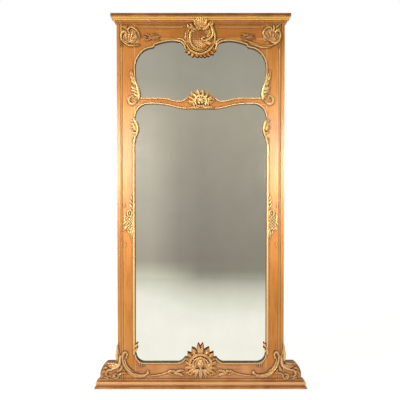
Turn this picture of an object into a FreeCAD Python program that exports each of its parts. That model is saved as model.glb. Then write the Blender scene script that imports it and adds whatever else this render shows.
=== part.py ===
import FreeCAD, Part
import math
import os
import Sketcher
from FreeCAD import Placement, Rotation, Vector

# Trumeau mirror: two mirror plates in a carved, gilded wooden frame on a plinth.
# Millimetres. X to the right, Y to the back, Z up, front towards -Y.
# The origin is at the middle of the foot, on the floor.
# Depths are measured forward from the flat back, which stands against the wall.

drivingSizes = {
    "overallHeight": 2387,
    "frameWidth": 1066,
    "frameDepth": 80,
    "stileWidth": 113,
    "fitGap": 0.3,
    # rebates for the plates and the backboards
    "frontThick": 28,
    "glassThick": 5,
    "glassLap": 10,
    "glassSpacing": 3,
    "glassJoint": 29.5,
    "rebateWidth": 12,
    "boardRebateWidth": 24,
    "boardRebateDepth": 12,
    "backboardThick": 9,
    # moulding run along the outer edge of each stile
    "edgeFillet": 19,
    "quirkWidth": 5,
    "quirkDepth": 3,
    "stileBead": 12,
    # top board and cornice
    "topBoardThick": 19,
    "mouldingReach": 36,
    "corniceHeight": 43,
    "corniceReach": 33,
    # foot
    "groundThick": 24,
    "plinthHeight": 60,
    "plinthReach": 27,
    "footFlare": 18,
    "shoulderReach": 114,
    "shoulderHeight": 164,
    "shoulderSpring": 94,
    "shoulderRound": 46,
    "shoulderBulge": 10,
    "shoulderBevel": 7,
    # arched head of the upper opening
    "friezeHeight": 138,
    "upperSightHigh": 370,
    "crownHalf": 104,
    "crownDrop": 58,
    "crownBow": 16,
    "archEdge": 12,
    "archFlatIn": 157,
    "archFlatInset": 129,
    "archFall": 24,
    "archBow": 7,
    "archDipBow": 4,
    "archStep": 19,
    "archShoulderInset": 33,
    "archShoulderFall": 42,
    "archShoulderBow": 10,
    "archFoot": 196,
    "slipEdge": 4,
    "slipWaist": 17,
    "slipFoot": 36,
    "slipBow": 4,
    # serpentine middle rail
    "railDip": 20,
    "railEndThick": 43,
    "railMiddleThick": 52,
    "railShoulder": 250,
    "railWaist": 132,
    "railCrown": 92,
    "railBow": 2,
    "railCrownBow": 4,
    "spandrelReach": 62,
    "spandrelDrop": 79,
    "spandrelBow": 16,
    # bottom rail
    "bottomRailTop": 163,
    "cornerRound": 54,
    "humpRise": 31,
    "humpFoot": 144,
    "humpHalf": 102,
    "humpBow": 6,
    # tenons
    "tenonLong": 45,
    "tenonThick": 16,
    "tenonShoulder": 7,
    # gilt lips and beads
    "lipWide": 10,
    "sideLipWide": 17,
    "lipHigh": 7,
    "friezeBeadHigh": 9,
    "friezeBeadOut": 6,
    "friezeBeadDrop": 16,
    "friezeBeadIn": 112,
    "friezeBeadInset": 24,
    # behind the plates
    "battenHigh": 60,
    "blockWide": 20,
    "blockLong": 60,
    "lowerBlocks": 5,
    "upperBlocks": 2,
    # steel plates for the wall screws
    "hangerSpan": 600,
    "hangerWide": 60,
    "hangerHigh": 34,
    "hangerThick": 3,
    "hangerHole": 4,
    "hangerDrop": 60,
    "hangerRoomHalf": 9,
    "hangerRoomDepth": 15,
    # carved ornaments
    "reliefHigh": 14,
    "crestRadius": 84,
    "crestDrop": 136,
    "crestShift": 8,
    "cornerCartoucheSize": 60,
    "cornerCartoucheOut": 24,
    "cornerCartoucheRise": 12,
    "spraySize": 50,
    "sprayInset": 108,
    "sprayRise": 17,
    "garlandLong": 172,
    "shellSize": 60,
    "shellDrop": 12,
    "sideScrollLong": 171,
    "sideScrollGap": 3,
    "trellisMiddle": 1062,
    "trellisOut": 42,
    "trellisLong": 325,
    "baseShellSize": 100,
    "baseShellMiddle": 166,
    "maskHigh": 74,
    "baseScrollSize": 100,
    "baseScrollDrop": 20,
    "baseSprayIn": 106,
    "baseSprayInset": 99,
    "baseSprayDrop": 76,
    "shoulderLeafSize": 110,
}

doc = FreeCAD.newDocument("TrumeauMirror")
sheet = doc.addObject("Spreadsheet::Sheet", "Sizes")
for row, (alias, value) in enumerate(drivingSizes.items(), start=1):
    sheet.set(f"A{row}", alias)
    sheet.set(f"B{row}", str(value))
    sheet.setAlias(f"B{row}", alias)
doc.recompute()


class Size:
    """A length that carries both its number and the sheet expression that gives it."""

    def __init__(self, number, text):
        self.number = number
        self.text = text

    def __add__(self, other):
        other = sized(other)
        return Size(self.number + other.number, f"({self.text} + {other.text})")

    def __sub__(self, other):
        other = sized(other)
        return Size(self.number - other.number, f"({self.text} - {other.text})")

    def __mul__(self, other):
        other = sized(other)
        return Size(self.number * other.number, f"({self.text} * {other.text})")

    def __truediv__(self, other):
        other = sized(other)
        return Size(self.number / other.number, f"({self.text} / {other.text})")

    def __neg__(self):
        return Size(-self.number, f"(0 - {self.text})")

    def __radd__(self, other):
        return sized(other) + self

    def __rsub__(self, other):
        return sized(other) - self

    def __rmul__(self, other):
        return sized(other) * self


def sized(value):
    if isinstance(value, Size):
        return value
    return Size(float(value), f"({float(value)})")


def cell(alias):
    return Size(float(getattr(sheet, alias)), f"Sizes.{alias}")


def bind(target, prop, size):
    """Set a property and tie it to the sheet."""
    setattr(target, prop, sized(size).number)
    target.setExpression(prop, sized(size).text)


# Places worked out from the sheet
gap = cell("fitGap")
depth = cell("frameDepth")
halfDepth = (depth + cell("mouldingReach")) / 2
outer = cell("frameWidth") / 2
inner = outer - cell("stileWidth")
boardTop = cell("overallHeight")
frameTop = boardTop - cell("topBoardThick")
friezeBottom = frameTop - cell("friezeHeight")
corniceBottom = frameTop - cell("corniceHeight")
seat = depth - cell("frontThick")
boardSeat = cell("boardRebateDepth")
ground = cell("groundThick")
railTop = friezeBottom - cell("upperSightHigh")
railEndBottom = railTop - cell("railEndThick")
railLow = railTop - cell("railDip")
railBottom = railLow - cell("railMiddleThick")
spandrelFoot = railEndBottom - cell("spandrelDrop")
spandrelIn = inner - cell("spandrelReach")
archFoot = friezeBottom - cell("archFoot")
archTop = friezeBottom - cell("archEdge")
archFlatOut = inner - cell("archFlatInset")
archShoulder = inner - cell("archShoulderInset")
crownEnd = friezeBottom - cell("crownDrop")
narrow = inner - cell("slipEdge")
bottomTop = cell("bottomRailTop")
cornerTop = bottomTop + cell("cornerRound")
humpTop = bottomTop + cell("humpRise")
joint = railTop - cell("glassJoint")
shoulderOut = outer + cell("shoulderReach")
boardRebate = cell("boardRebateWidth")
glassRebate = cell("rebateWidth")
cornerBulge = 1 - math.sqrt(0.5)  # rise of a quarter circle over its chord, for a radius of one


def backward(forward):
    """Y of a place that lies this far forward of the back."""
    return halfDepth - forward


# Edges of the openings, on the right. Each corner is x, z and the bow of the stretch after it,
# which is positive where that stretch bows to the left of its travel.
def archEdge():
    """Edge of the arched head, from the crest down to the slip."""
    fall = archTop - cell("archFall")
    step = fall - cell("archStep")
    return [
        (cell("crownHalf"), crownEnd, cell("crownBow")),
        (cell("archFlatIn"), archTop, cell("archBow")),
        (archFlatOut, fall, -cell("archDipBow")),
        (archFlatOut + cell("archStep"), step, cell("archShoulderBow")),
        (archShoulder, step - cell("archShoulderFall"), cell("archShoulderBow")),
        (narrow, archFoot, 0),
    ]


def slipEdge():
    waist = (archFoot + railTop) / 2
    return [
        (narrow, archFoot, cell("slipBow")),
        (inner - cell("slipWaist"), waist, -cell("slipBow")),
        (inner - cell("slipFoot"), railTop, 0),
    ]


def railUpperEdge():
    """Upper edge of the middle rail, from its end to the shell."""
    slope = (cell("railShoulder") + cell("railWaist")) / 2
    return [
        (cell("railShoulder"), railTop, -cell("railBow")),
        (slope, (railTop + railLow) / 2, cell("railBow")),
        (cell("railWaist"), railLow, cell("railCrownBow")),
        (cell("railCrown"), railTop, 0),
    ]


def railLowerEdge():
    """Lower edge of the middle rail, from the shell to the corner spandrel."""
    middle = (cell("railShoulder") + cell("railCrown")) / 2
    return [
        (cell("railCrown"), railBottom, -cell("railBow")),
        (middle, (railBottom + railEndBottom) / 2, cell("railBow")),
        (cell("railShoulder"), railEndBottom, cell("railCrownBow")),
        (spandrelIn, railEndBottom, 0),
    ]


def spandrelEdge():
    return [
        (spandrelIn, railEndBottom, cell("spandrelBow")),
        (narrow, spandrelFoot, 0),
    ]


def bottomEdge():
    """Top edge of the bottom rail, from the corner to the shell."""
    return [
        (narrow, cornerTop, cell("cornerRound") * cornerBulge),
        (narrow - cell("cornerRound"), bottomTop, 0),
        (cell("humpFoot"), bottomTop, cell("humpBow")),
        (cell("humpHalf"), humpTop, 0),
    ]


def reflected(edge):
    """The same edge on the left, walked the other way."""
    bows = [bow for _, _, bow in edge[:-1]][::-1] + [0]
    return [(-x, z, bow) for (x, z, _), bow in zip(reversed(edge), bows)]


def planeOf(body, role):
    return [feature for feature in body.Origin.OriginFeatures if feature.Role == role][0]


def outlineSketch(body, role, shift, corners):
    """Closed sketch through corners (across, up, bulge of the edge that follows), tied to the sheet."""
    sketch = body.newObject("Sketcher::SketchObject", body.Name + "Outline")
    sketch.AttachmentSupport = (planeOf(body, role), [""])
    sketch.MapMode = "FlatFace"
    shift = sized(shift)
    sketch.AttachmentOffset = Placement(Vector(0, 0, shift.number), Rotation())
    sketch.setExpression("AttachmentOffset.Base.z", shift.text)
    ends = []
    corners = [(sized(a), sized(b), sized(c)) for a, b, c in corners]
    for here, there in zip(corners, corners[1:] + corners[:1]):
        start = Vector(here[0].number, here[1].number, 0)
        end = Vector(there[0].number, there[1].number, 0)
        bulge = here[2].number
        if bulge == 0:
            sketch.addGeometry(Part.LineSegment(start, end))
            ends.append((1, 2))
            continue
        chord = end - start
        leftward = Vector(-chord.y, chord.x, 0).normalize()
        radius = (chord.Length ** 2 / 4 + bulge ** 2) / (2 * abs(bulge))
        centre = (start + end) / 2 + leftward * (bulge - math.copysign(radius, bulge))
        first, last = (end, start) if bulge > 0 else (start, end)
        circle = Part.Circle(centre, Vector(0, 0, 1), radius)
        angles = [math.atan2(p.y - centre.y, p.x - centre.x) for p in (first, last)]
        sketch.addGeometry(Part.ArcOfCircle(circle, *angles))
        ends.append((2, 1) if bulge > 0 else (1, 2))
    count = len(corners)
    for i in range(count):
        follower = (i + 1) % count
        sketch.addConstraint(Sketcher.Constraint("Coincident", i, ends[i][1], follower, ends[follower][0]))
    for i, (across, up, bulge) in enumerate(corners):
        for kind, size in (("DistanceX", across), ("DistanceY", up)):
            number = sketch.addConstraint(
                Sketcher.Constraint(kind, -1, 1, i, ends[i][0], size.number)
            )
            sketch.setExpression(f"Constraints[{number}]", size.text)
        if bulge.number != 0:
            nextAcross, nextUp, _ = corners[(i + 1) % count]
            chordSquare = (nextAcross - across) * (nextAcross - across) + (nextUp - up) * (nextUp - up)
            square = chordSquare / 4 + bulge * bulge
            radius = square / (bulge * math.copysign(2, bulge.number))
            number = sketch.addConstraint(Sketcher.Constraint("Radius", i, radius.number))
            sketch.setExpression(f"Constraints[{number}]", radius.text)
    return sketch


def padOf(body, sketch, length, towardsBack=False, bothWays=False):
    pad = body.newObject("PartDesign::Pad", body.Name + "Pad")
    pad.Profile = sketch
    bind(pad, "Length", length)
    pad.Reversed = towardsBack
    pad.Midplane = bothWays
    sketch.Visibility = False
    return pad


def newBody(label):
    body = doc.addObject("PartDesign::Body", label)
    body.Label = label
    return body


def sided(side, corners):
    return [(side * sized(a), b, side * sized(c)) for a, b, c in corners]


def board(label, corners, back, front, side=1):
    """Board whose outline is seen from the front, between two depths."""
    body = newBody(label)
    sketch = outlineSketch(body, "XZ_Plane", front - halfDepth, sided(side, corners))
    padOf(body, sketch, front - back, towardsBack=True)
    return body


def rectangle(left, right, low, high):
    return [(left, low, 0), (right, low, 0), (right, high, 0), (left, high, 0)]


def block(body, kind, across, back, front, low, high, side=1):
    """Box added to a body or cut from it; across is its inner and outer x on the right."""
    box = body.newObject(f"PartDesign::{kind}Box", body.Name + kind)
    near, far = sized(across[0]), sized(across[1])
    left = near if side > 0 else -far
    bind(box, "Length", far - near)
    bind(box, "Width", front - back)
    bind(box, "Height", high - low)
    corner = (left, backward(front), low)
    box.Placement = Placement(Vector(*[sized(c).number for c in corner]), Rotation())
    for axis, size in zip("xyz", corner):
        box.setExpression(f"Placement.Base.{axis}", sized(size).text)
    return box


def tenonPlaces():
    """Tenon of each rail: its depths and heights."""
    thick = cell("tenonThick")
    shoulder = cell("tenonShoulder")
    deepBack = (depth - thick) / 2
    thinBack = seat + (cell("frontThick") - thick) / 2
    friezeLow = friezeBottom + boardRebate + shoulder
    return {
        "frieze_rail": (deepBack, deepBack + thick, friezeLow, frameTop - shoulder),
        "middle_rail": (thinBack, thinBack + thick, railEndBottom + shoulder, railTop - shoulder),
        "bottom_rail": (deepBack, deepBack + thick, ground + shoulder, bottomTop - boardRebate - shoulder),
    }


def addTenons(body, railName):
    back, front, low, high = tenonPlaces()[railName]
    for side in (-1, 1):
        block(body, "Additive", (inner, inner + cell("tenonLong")), back, front, low, high, side)


def longShoulders(body, low, high, boardLow, boardHigh):
    """The rail ends fill the rebates of the stiles behind the front member."""
    for side in (-1, 1):
        reach = (inner, inner + glassRebate - gap)
        block(body, "Additive", reach, boardSeat, seat - gap, low, high, side)
        reach = (inner, inner + boardRebate - gap)
        block(body, "Additive", reach, 0, boardSeat - gap, boardLow, boardHigh, side)


def makeStile(label, side):
    body = newBody(label)
    quirk = depth - cell("quirkDepth")
    first = outer - cell("edgeFillet")
    beadOut = first - cell("quirkWidth")
    beadIn = beadOut - cell("stileBead")
    field = beadIn - cell("quirkWidth")
    section = [
        (outer, 0, 0),
        (outer, depth, 0),
        (first, depth, 0),
        (first, quirk, 0),
        (beadOut, quirk, cell("quirkDepth") * -1),
        (beadIn, quirk, 0),
        (field, quirk, 0),
        (field, depth, 0),
        (inner, depth, 0),
        (inner, seat, 0),
        (inner + glassRebate, seat, 0),
        (inner + glassRebate, boardSeat, 0),
        (inner + boardRebate, boardSeat, 0),
        (inner + boardRebate, 0, 0),
    ]
    corners = [(side * x, backward(forward), side * -1 * sized(bulge)) for x, forward, bulge in section]
    sketch = outlineSketch(body, "XY_Plane", ground, corners)
    padOf(body, sketch, frameTop - ground)
    for back, front, low, high in tenonPlaces().values():
        reach = (inner, inner + cell("tenonLong") + gap)
        block(body, "Subtractive", reach, back - gap, front + gap, low - gap, high + gap, side)


def makeFriezeRail():
    body = board("frieze_rail", rectangle(-inner, inner, friezeBottom, frameTop), 0, depth)
    whole = (-inner, inner)
    block(body, "Subtractive", whole, boardSeat, seat, friezeBottom, friezeBottom + glassRebate)
    block(body, "Subtractive", whole, 0, boardSeat, friezeBottom, friezeBottom + boardRebate)
    longShoulders(body, friezeBottom + glassRebate, frameTop, friezeBottom + boardRebate, frameTop)
    addTenons(body, "frieze_rail")
    middle = frameTop - cell("hangerDrop")
    for side in (-1, 1):
        near = cell("hangerSpan") / 2 - cell("hangerWide") / 2 - gap
        far = cell("hangerSpan") / 2 + cell("hangerWide") / 2 + gap
        low = middle - cell("hangerHigh") / 2 - gap
        high = middle + cell("hangerHigh") / 2 + gap
        block(body, "Subtractive", (near, far), 0, cell("hangerThick"), low, high, side)
        half = cell("hangerRoomHalf")
        reach = (cell("hangerSpan") / 2 - half, cell("hangerSpan") / 2 + half)
        block(body, "Subtractive", reach, 0, cell("hangerRoomDepth"), middle - half, middle + half, side)


def makeMiddleRail():
    upper = [(inner, railTop, 0)] + railUpperEdge()
    lower = railLowerEdge() + [(inner, railEndBottom, 0)]
    body = board("middle_rail", upper + reflected(upper) + reflected(lower) + lower, seat, depth)
    addTenons(body, "middle_rail")


def makeBottomRail():
    right = [(inner, ground, 0), (inner, cornerTop, 0)] + bottomEdge()
    body = board("bottom_rail", right + reflected(right), 0, depth)
    whole = (-inner, inner)
    block(body, "Subtractive", whole, boardSeat, seat, bottomTop - glassRebate, cornerTop)
    block(body, "Subtractive", whole, 0, boardSeat, bottomTop - boardRebate, cornerTop)
    longShoulders(body, ground, bottomTop - glassRebate, ground, bottomTop - boardRebate)
    addTenons(body, "bottom_rail")


def makeOpeningPieces(hand, side):
    spandrel = [(cell("crownHalf"), friezeBottom, 0)] + archEdge()
    spandrel += [(inner, archFoot, 0), (inner, friezeBottom, 0)]
    board(f"arch_spandrel_{hand}", spandrel, seat, depth, side)
    slip = slipEdge() + [(inner, railTop, 0), (inner, archFoot, 0)]
    board(f"upper_slip_{hand}", slip, seat, depth, side)
    corner = spandrelEdge() + [(inner, spandrelFoot, 0), (inner, railEndBottom, 0)]
    board(f"lower_spandrel_{hand}", corner, seat, depth, side)


def corniceProfile():
    """Offset, height and bulge: small fillet, cove, ovolo and hollow."""
    reach = cell("corniceReach")
    high = cell("corniceHeight")
    return [
        (0, corniceBottom, 0),
        (reach * 0.15, corniceBottom, 0),
        (reach * 0.15, corniceBottom + high * 0.10, reach * -0.12),
        (reach * 0.46, corniceBottom + high * 0.44, 0),
        (reach * 0.56, corniceBottom + high * 0.44, 0),
        (reach * 0.56, corniceBottom + high * 0.49, reach * 0.10),
        (reach * 0.82, corniceBottom + high * 0.70, reach * -0.08),
        (reach, corniceBottom + high * 0.92, 0),
        (reach, frameTop, 0),
        (0, frameTop, 0),
    ]


def plinthProfile():
    """Offset, height and bulge: flared foot, fascia, hollow and top bead."""
    reach = cell("plinthReach")
    high = cell("plinthHeight")
    return [
        (0, 0, 0),
        (cell("mouldingReach"), 0, 0),
        (cell("mouldingReach"), high * 0.04, reach * -0.1),
        (reach * 0.83, cell("footFlare"), 0),
        (reach * 0.80, high * 0.45, 0),
        (reach, high * 0.50, 0),
        (reach, high * 0.60, 0),
        (reach * 0.86, high * 0.62, reach * -0.12),
        (reach * 0.42, high * 0.78, 0),
        (reach * 0.42, high * 0.82, reach * 0.12),
        (reach * 0.22, high, 0),
        (0, high, 0),
    ]


def mitre(body, corners, top, high):
    sketch = outlineSketch(body, "XY_Plane", top, corners)
    cut = body.newObject("PartDesign::Pocket", body.Name + "Mitre")
    cut.Profile = sketch
    bind(cut, "Length", high)
    sketch.Visibility = False


def makeMoulding(name, profile, half, low, high):
    """Mitred moulding in three pieces: along the front, and a return on each side."""
    front = newBody(f"{name}_front")
    corners = [(backward(depth + offset), z, -1 * sized(bulge)) for offset, z, bulge in profile]
    sketch = outlineSketch(front, "YZ_Plane", 0, corners)
    beyond = cell("mouldingReach") + 2
    padOf(front, sketch, (half + beyond) * 2, bothWays=True)
    for side in (-1, 1):
        corner = (side * half, backward(depth), 0)
        level = (side * (half + beyond + 1), backward(depth), 0)
        far = (side * (half + beyond + 1), backward(depth + beyond + 1), 0)
        mitre(front, [corner, level, far], high, high - low)
    for hand, side in (("left", -1), ("right", 1)):
        corners = [(half + offset, z, bulge) for offset, z, bulge in profile]
        body = board(f"{name}_return_{hand}", corners, 0, depth + beyond, side)
        corner = (side * half, backward(depth), 0)
        ahead = (side * half, backward(depth + beyond + 1), 0)
        far = (side * (half + beyond + 1), backward(depth + beyond + 1), 0)
        mitre(body, [corner, ahead, far], high, high - low)


def makeShoulder(hand, side):
    """Scroll-shaped bracket beside the stile, its rounded edge bevelled at the front."""
    crest = cell("shoulderHeight")
    spring = cell("shoulderSpring")
    outline = [
        (outer, ground, 0),
        (shoulderOut, ground, 0),
        (shoulderOut, spring, -1 * cell("shoulderBulge")),
        (shoulderOut - cell("shoulderRound"), crest, 0),
        (outer, crest, 0),
    ]
    body = board(f"shoulder_{hand}", outline, 0, depth, side)
    doc.recompute()
    frontY = backward(depth).number
    names = []
    for number, edge in enumerate(body.Shape.Edges, start=1):
        points = [vertex.Point for vertex in edge.Vertexes]
        atFront = all(abs(point.y - frontY) < 1e-6 for point in points)
        beyondStile = max(side * point.x for point in points) > outer.number + 1e-6
        aboveGround = max(point.z for point in points) > ground.number + 1e-6
        if atFront and beyondStile and aboveGround:
            names.append(f"Edge{number}")
    plain = body.Tip
    bevel = body.newObject("PartDesign::Chamfer", body.Name + "Bevel")
    bevel.Base = (plain, names)
    bind(bevel, "Size", cell("shoulderBevel"))


def makeFoot():
    board("ground_board", rectangle(-shoulderOut, shoulderOut, 0, ground), 0, depth)
    makeMoulding("plinth", plinthProfile(), shoulderOut, sized(0), cell("plinthHeight"))
    makeShoulder("left", -1)
    makeShoulder("right", 1)


def makeHead():
    half = outer + cell("mouldingReach")
    board("top_board", rectangle(-half, half, frameTop, boardTop), 0, depth + cell("mouldingReach"))
    makeMoulding("cornice", corniceProfile(), outer, corniceBottom, frameTop)


def makeGlassAndBack():
    half = inner + cell("glassLap")
    back = seat - gap - cell("glassThick")
    spacing = cell("glassSpacing") / 2
    upper = rectangle(-half, half, joint + spacing, friezeBottom + cell("glassLap"))
    board("upper_mirror", upper, back, seat - gap)
    lower = rectangle(-half, half, bottomTop - cell("glassLap"), joint - spacing)
    board("lower_mirror", lower, back, seat - gap)
    half = inner + glassRebate - gap
    low = joint - cell("battenHigh") / 2
    board("cross_batten", rectangle(-half, half, low, low + cell("battenHigh")), boardSeat, back - gap)
    half = inner + boardRebate - gap
    front = boardSeat - gap
    upper = rectangle(-half, half, joint + gap, friezeBottom + boardRebate - gap)
    lower = rectangle(-half, half, bottomTop - boardRebate + gap, joint - gap)
    for label, outline in (("upper_backboard", upper), ("lower_backboard", lower)):
        board(label, outline, front - cell("backboardThick"), front)


def number(size):
    return sized(size).number


def boxBetween(left, right, back, front, low, high):
    corner = Vector(number(left), number(backward(front)), number(low))
    return Part.makeBox(
        number(right - left), number(front - back), number(high - low), corner
    )


def feature(label, shape):
    item = doc.addObject("Part::Feature", label)
    item.Label = label
    item.Shape = shape
    return item


def makeBlocks():
    """Glue blocks that hold the plates, evenly spaced along both stiles."""
    blocks = []
    far = inner + glassRebate - gap
    front = seat - gap * 2 - cell("glassThick")
    clear = cell("battenHigh") / 2
    spans = (
        (bottomTop, joint - clear, "lowerBlocks"),
        (joint + clear, friezeBottom, "upperBlocks"),
    )
    for low, high, alias in spans:
        count = round(cell(alias).number)
        pitch = (high - low) / count
        for i in range(count):
            foot = low + pitch * (i + 0.5) - cell("blockLong") / 2
            right = boxBetween(far - cell("blockWide"), far, boardSeat, front, foot, foot + cell("blockLong"))
            blocks += [right, mirrored(right)]
    feature("mirror_blocks", Part.makeCompound(blocks))


def makeHangers():
    plates = []
    middle = frameTop - cell("hangerDrop")
    left = (cell("hangerSpan") - cell("hangerWide")) / 2
    right = left + cell("hangerWide")
    low = middle - cell("hangerHigh") / 2
    thick = cell("hangerThick")
    plate = boxBetween(left, right, sized(0), thick, low, low + cell("hangerHigh"))
    place = Vector(number(cell("hangerSpan") / 2), number(backward(0)) + 1, number(middle))
    drill = Part.makeCylinder(number(cell("hangerHole")), number(thick) + 2, place, Vector(0, -1, 0))
    plate = plate.cut(drill)
    plates += [plate, mirrored(plate)]
    feature("hanger_plates", Part.makeCompound(plates))


# Carving: each ornament is modelled round its own middle, then planted on the front
def mirrored(shape):
    return shape.mirror(Vector(0, 0, 0), Vector(1, 0, 0))


def solidOf(rows, capped=True):
    """Solid whose skin joins closed rows of points by triangles, with flat caps on the end rows."""
    faces = []
    for before, after in zip(rows, rows[1:]):
        count = len(before)
        for k in range(count):
            m = (k + 1) % count
            for corners in ((before[k], before[m], after[m]), (before[k], after[m], after[k])):
                if min((corners[i] - corners[i - 1]).Length for i in range(3)) > 1e-4:
                    faces.append(Part.Face(Part.makePolygon(list(corners) + [corners[0]])))
    for row in (rows[0], rows[-1]) if capped else ():
        faces.append(Part.Face(Part.makePolygon(row + [row[0]])))
    solid = Part.Solid(Part.makeShell(faces))
    if solid.Volume < 0:
        solid.reverse()
    return solid


def along(path):
    """Unit sideways vector at each point of a path of (x, z) points."""
    normals = []
    for i in range(len(path)):
        ahead = path[min(i + 1, len(path) - 1)]
        behind = path[max(i - 1, 0)]
        run, rise = ahead[0] - behind[0], ahead[1] - behind[1]
        length = math.hypot(run, rise)
        normals.append((-rise / length, run / length))
    return normals


def moulding(path, section):
    """Strip of constant section along a path: section is (sideways, forward) points."""
    rows = []
    for (x, z), (nx, nz) in zip(path, along(path)):
        rows.append([Vector(x + nx * s, -h, z + nz * s) for s, h in section])
    return solidOf(rows)


def ridge(path, widths, heights, lifts=None):
    """Carved band along a path, with bevelled sides, its half width and height changing on the way."""
    crown = 0.42
    rows = []
    count = len(path)
    widths = spread(widths, count)
    heights = spread(heights, count)
    lifts = spread(lifts or [0], count)
    for (x, z), (nx, nz), w, h, lift in zip(path, along(path), widths, heights, lifts):
        row = []
        for s, rise in ((1, 0), (crown, h), (-crown, h), (-1, 0)):
            row.append(Vector(x + nx * w * s, -lift - rise, z + nz * w * s))
        rows.append(row)
    return solidOf(rows)


def spread(values, count):
    """Values at evenly spaced stations, by straight interpolation."""
    if len(values) == 1:
        return list(values) * count
    result = []
    for i in range(count):
        place = i * (len(values) - 1) / (count - 1)
        low = min(int(place), len(values) - 2)
        result.append(values[low] + (values[low + 1] - values[low]) * (place - low))
    return result


def flowing(points, count):
    """Smooth path of (x, z) points through a few given ones."""
    spline = Part.BSplineCurve()
    spline.interpolate([Vector(x, 0, z) for x, z in points])
    return [(p.x, p.z) for p in spline.discretize(Number=count)]


def spiral(centre, radii, angles, count):
    """Path that winds from the first radius and angle (degrees) to the last."""
    path = []
    for i in range(count):
        t = i / (count - 1)
        radius = radii[0] + (radii[1] - radii[0]) * t
        angle = math.radians(angles[0] + (angles[1] - angles[0]) * t)
        path.append((centre[0] + radius * math.cos(angle), centre[1] + radius * math.sin(angle)))
    return path


def boss(centre, halfWide, halfHigh, high, sides=8, top=0.55):
    """Raised button with a flat crown."""
    rows = []
    for share, rise in ((1, 0), (0.86, high * 0.6), (top, high)):
        row = []
        for i in range(sides):
            angle = 2 * math.pi * (i + 0.5) / sides
            x = centre[0] + halfWide * share * math.cos(angle)
            z = centre[1] + halfHigh * share * math.sin(angle)
            row.append(Vector(x, -rise, z))
        rows.append(row)
    return solidOf(rows)


def fluted(radius, profile, ribs, reach, depthOf=None):
    """Shell or rosette round its own middle: profile is (share of the radius, height).

    reach gives the share of the radius at an angle; every second row is a sunk valley.
    """
    rows = []
    for i in range(2 * ribs):
        angle = math.pi * i / ribs
        sink = (i % 2) * (depthOf(angle) if depthOf else 1)
        row = []
        for share, high in profile:
            out = radius * share * reach(angle) * (1 - 0.1 * sink * share)
            fall = high * (1 - 0.35 * sink * min(1, share * 1.3))
            row.append(Vector(out * math.cos(angle), -fall, out * math.sin(angle)))
        row.append(Vector(0, 0, 0))
        rows.append(row)
    return solidOf(rows + [rows[0]], capped=False)


def fan(rim, profile):
    """Shell round its own middle; profile is (share of the way out, height).

    rim is its edge on the right, valleys and points in turn, from the top down.
    """
    whole = rim + [(-x, z) for x, z in rim[-2:0:-1]]
    rows = []
    for i, (x, z) in enumerate(whole):
        row = []
        for share, high in profile:
            fall = high * (1 if i % 2 else 1 - 0.35 * min(1, share * 1.3))
            row.append(Vector(x * share, -fall, z * share))
        row.append(Vector(0, 0, 0))
        rows.append(row)
    return solidOf(rows + [rows[0]], capped=False)


def leaf(points, halfWidth, high, count=5):
    return ridge(flowing(points, count), [halfWidth * 0.35, halfWidth, halfWidth * 0.7, halfWidth * 0.1],
                 [high * 0.5, high, high * 0.8, high * 0.3])


def planted(pieces, x, z):
    """Carving glued on the front of the frame, its own origin at (x, z)."""
    shape = pieces[0].multiFuse(pieces[1:]) if len(pieces) > 1 else pieces[0]
    shape.translate(Vector(number(x), number(backward(depth)), number(z)))
    return shape


def pair(name, shape):
    feature(f"{name}_right", shape)
    feature(f"{name}_left", mirrored(shape))


def scaled(points, factor):
    return [(x * factor, z * factor) for x, z in points]


def traced(edge, perArc=5):
    """Points along an edge of an opening; a bulged stretch becomes an arc of short steps."""
    path = []
    edge = [tuple(number(v) for v in corner) for corner in edge]
    for (x0, z0, bulge), (x1, z1, _) in zip(edge, edge[1:]):
        steps = perArc if bulge else 1
        chord = math.hypot(x1 - x0, z1 - z0)
        nx, nz = -(z1 - z0) / chord, (x1 - x0) / chord
        half = 2 * math.atan(2 * abs(bulge) / chord) if bulge else 0
        radius = chord / 2 / math.sin(half) if bulge else 0
        for i in range(steps):
            t = i / steps
            if bulge:
                turn = half * (2 * t - 1)
                share = 0.5 + radius * math.sin(turn) / chord
                out = math.copysign(radius * (math.cos(turn) - math.cos(half)), bulge)
            else:
                share, out = t, 0
            path.append((x0 + (x1 - x0) * share + nx * out, z0 + (z1 - z0) * share + nz * out))
    path.append(edge[-1][:2])
    return path


def lipSection(wide, sign):
    high = number(cell("lipHigh"))
    shape = [(0, 0), (0, 0.5), (0.2, 1), (0.65, 1), (1, 0.3), (1, 0)]
    return [(sign * a * number(wide), b * high) for a, b in shape]


def makeLips():
    wide = cell("lipWide")
    upper = traced(archEdge()) + traced(slipEdge())[1:]
    pair("upper_lip", planted([moulding(upper, lipSection(wide, 1))], 0, 0))
    middle = traced([(inner - cell("slipFoot") + wide, railTop, 0)] + railUpperEdge())
    right = planted([moulding(middle, lipSection(wide, 1))], 0, 0)
    feature("middle_lip", Part.makeCompound([right, mirrored(right)]))
    top = traced(railLowerEdge()) + traced(spandrelEdge())[1:]
    pair("lower_top_lip", planted([moulding(top, lipSection(wide, 1))], 0, 0))
    sideTop = spandrelFoot - cell("sideScrollLong")
    sidePath = [(number(inner), number(sideTop)), (number(inner), number(cornerTop))]
    pair("side_lip", planted([moulding(sidePath, lipSection(cell("sideLipWide"), 1))], 0, 0))
    pair("bottom_lip", planted([moulding(traced(bottomEdge()), lipSection(wide, 1))], 0, 0))


def makeFriezeBead():
    high = number(cell("friezeBeadHigh"))
    out = number(cell("friezeBeadOut"))
    level = number(corniceBottom - cell("friezeBeadDrop"))
    path = [(number(cell("friezeBeadIn")), level), (number(inner - cell("friezeBeadInset")), level)]
    section = [(0, 0), (-0.1, 0.6), (-0.35, 1), (-0.65, 1), (-0.9, 0.6), (-1, 0)]
    right = planted([moulding(path, [(a * high, b * out) for a, b in section])], 0, 0)
    feature("frieze_bead", Part.makeCompound([right, mirrored(right)]))


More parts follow.
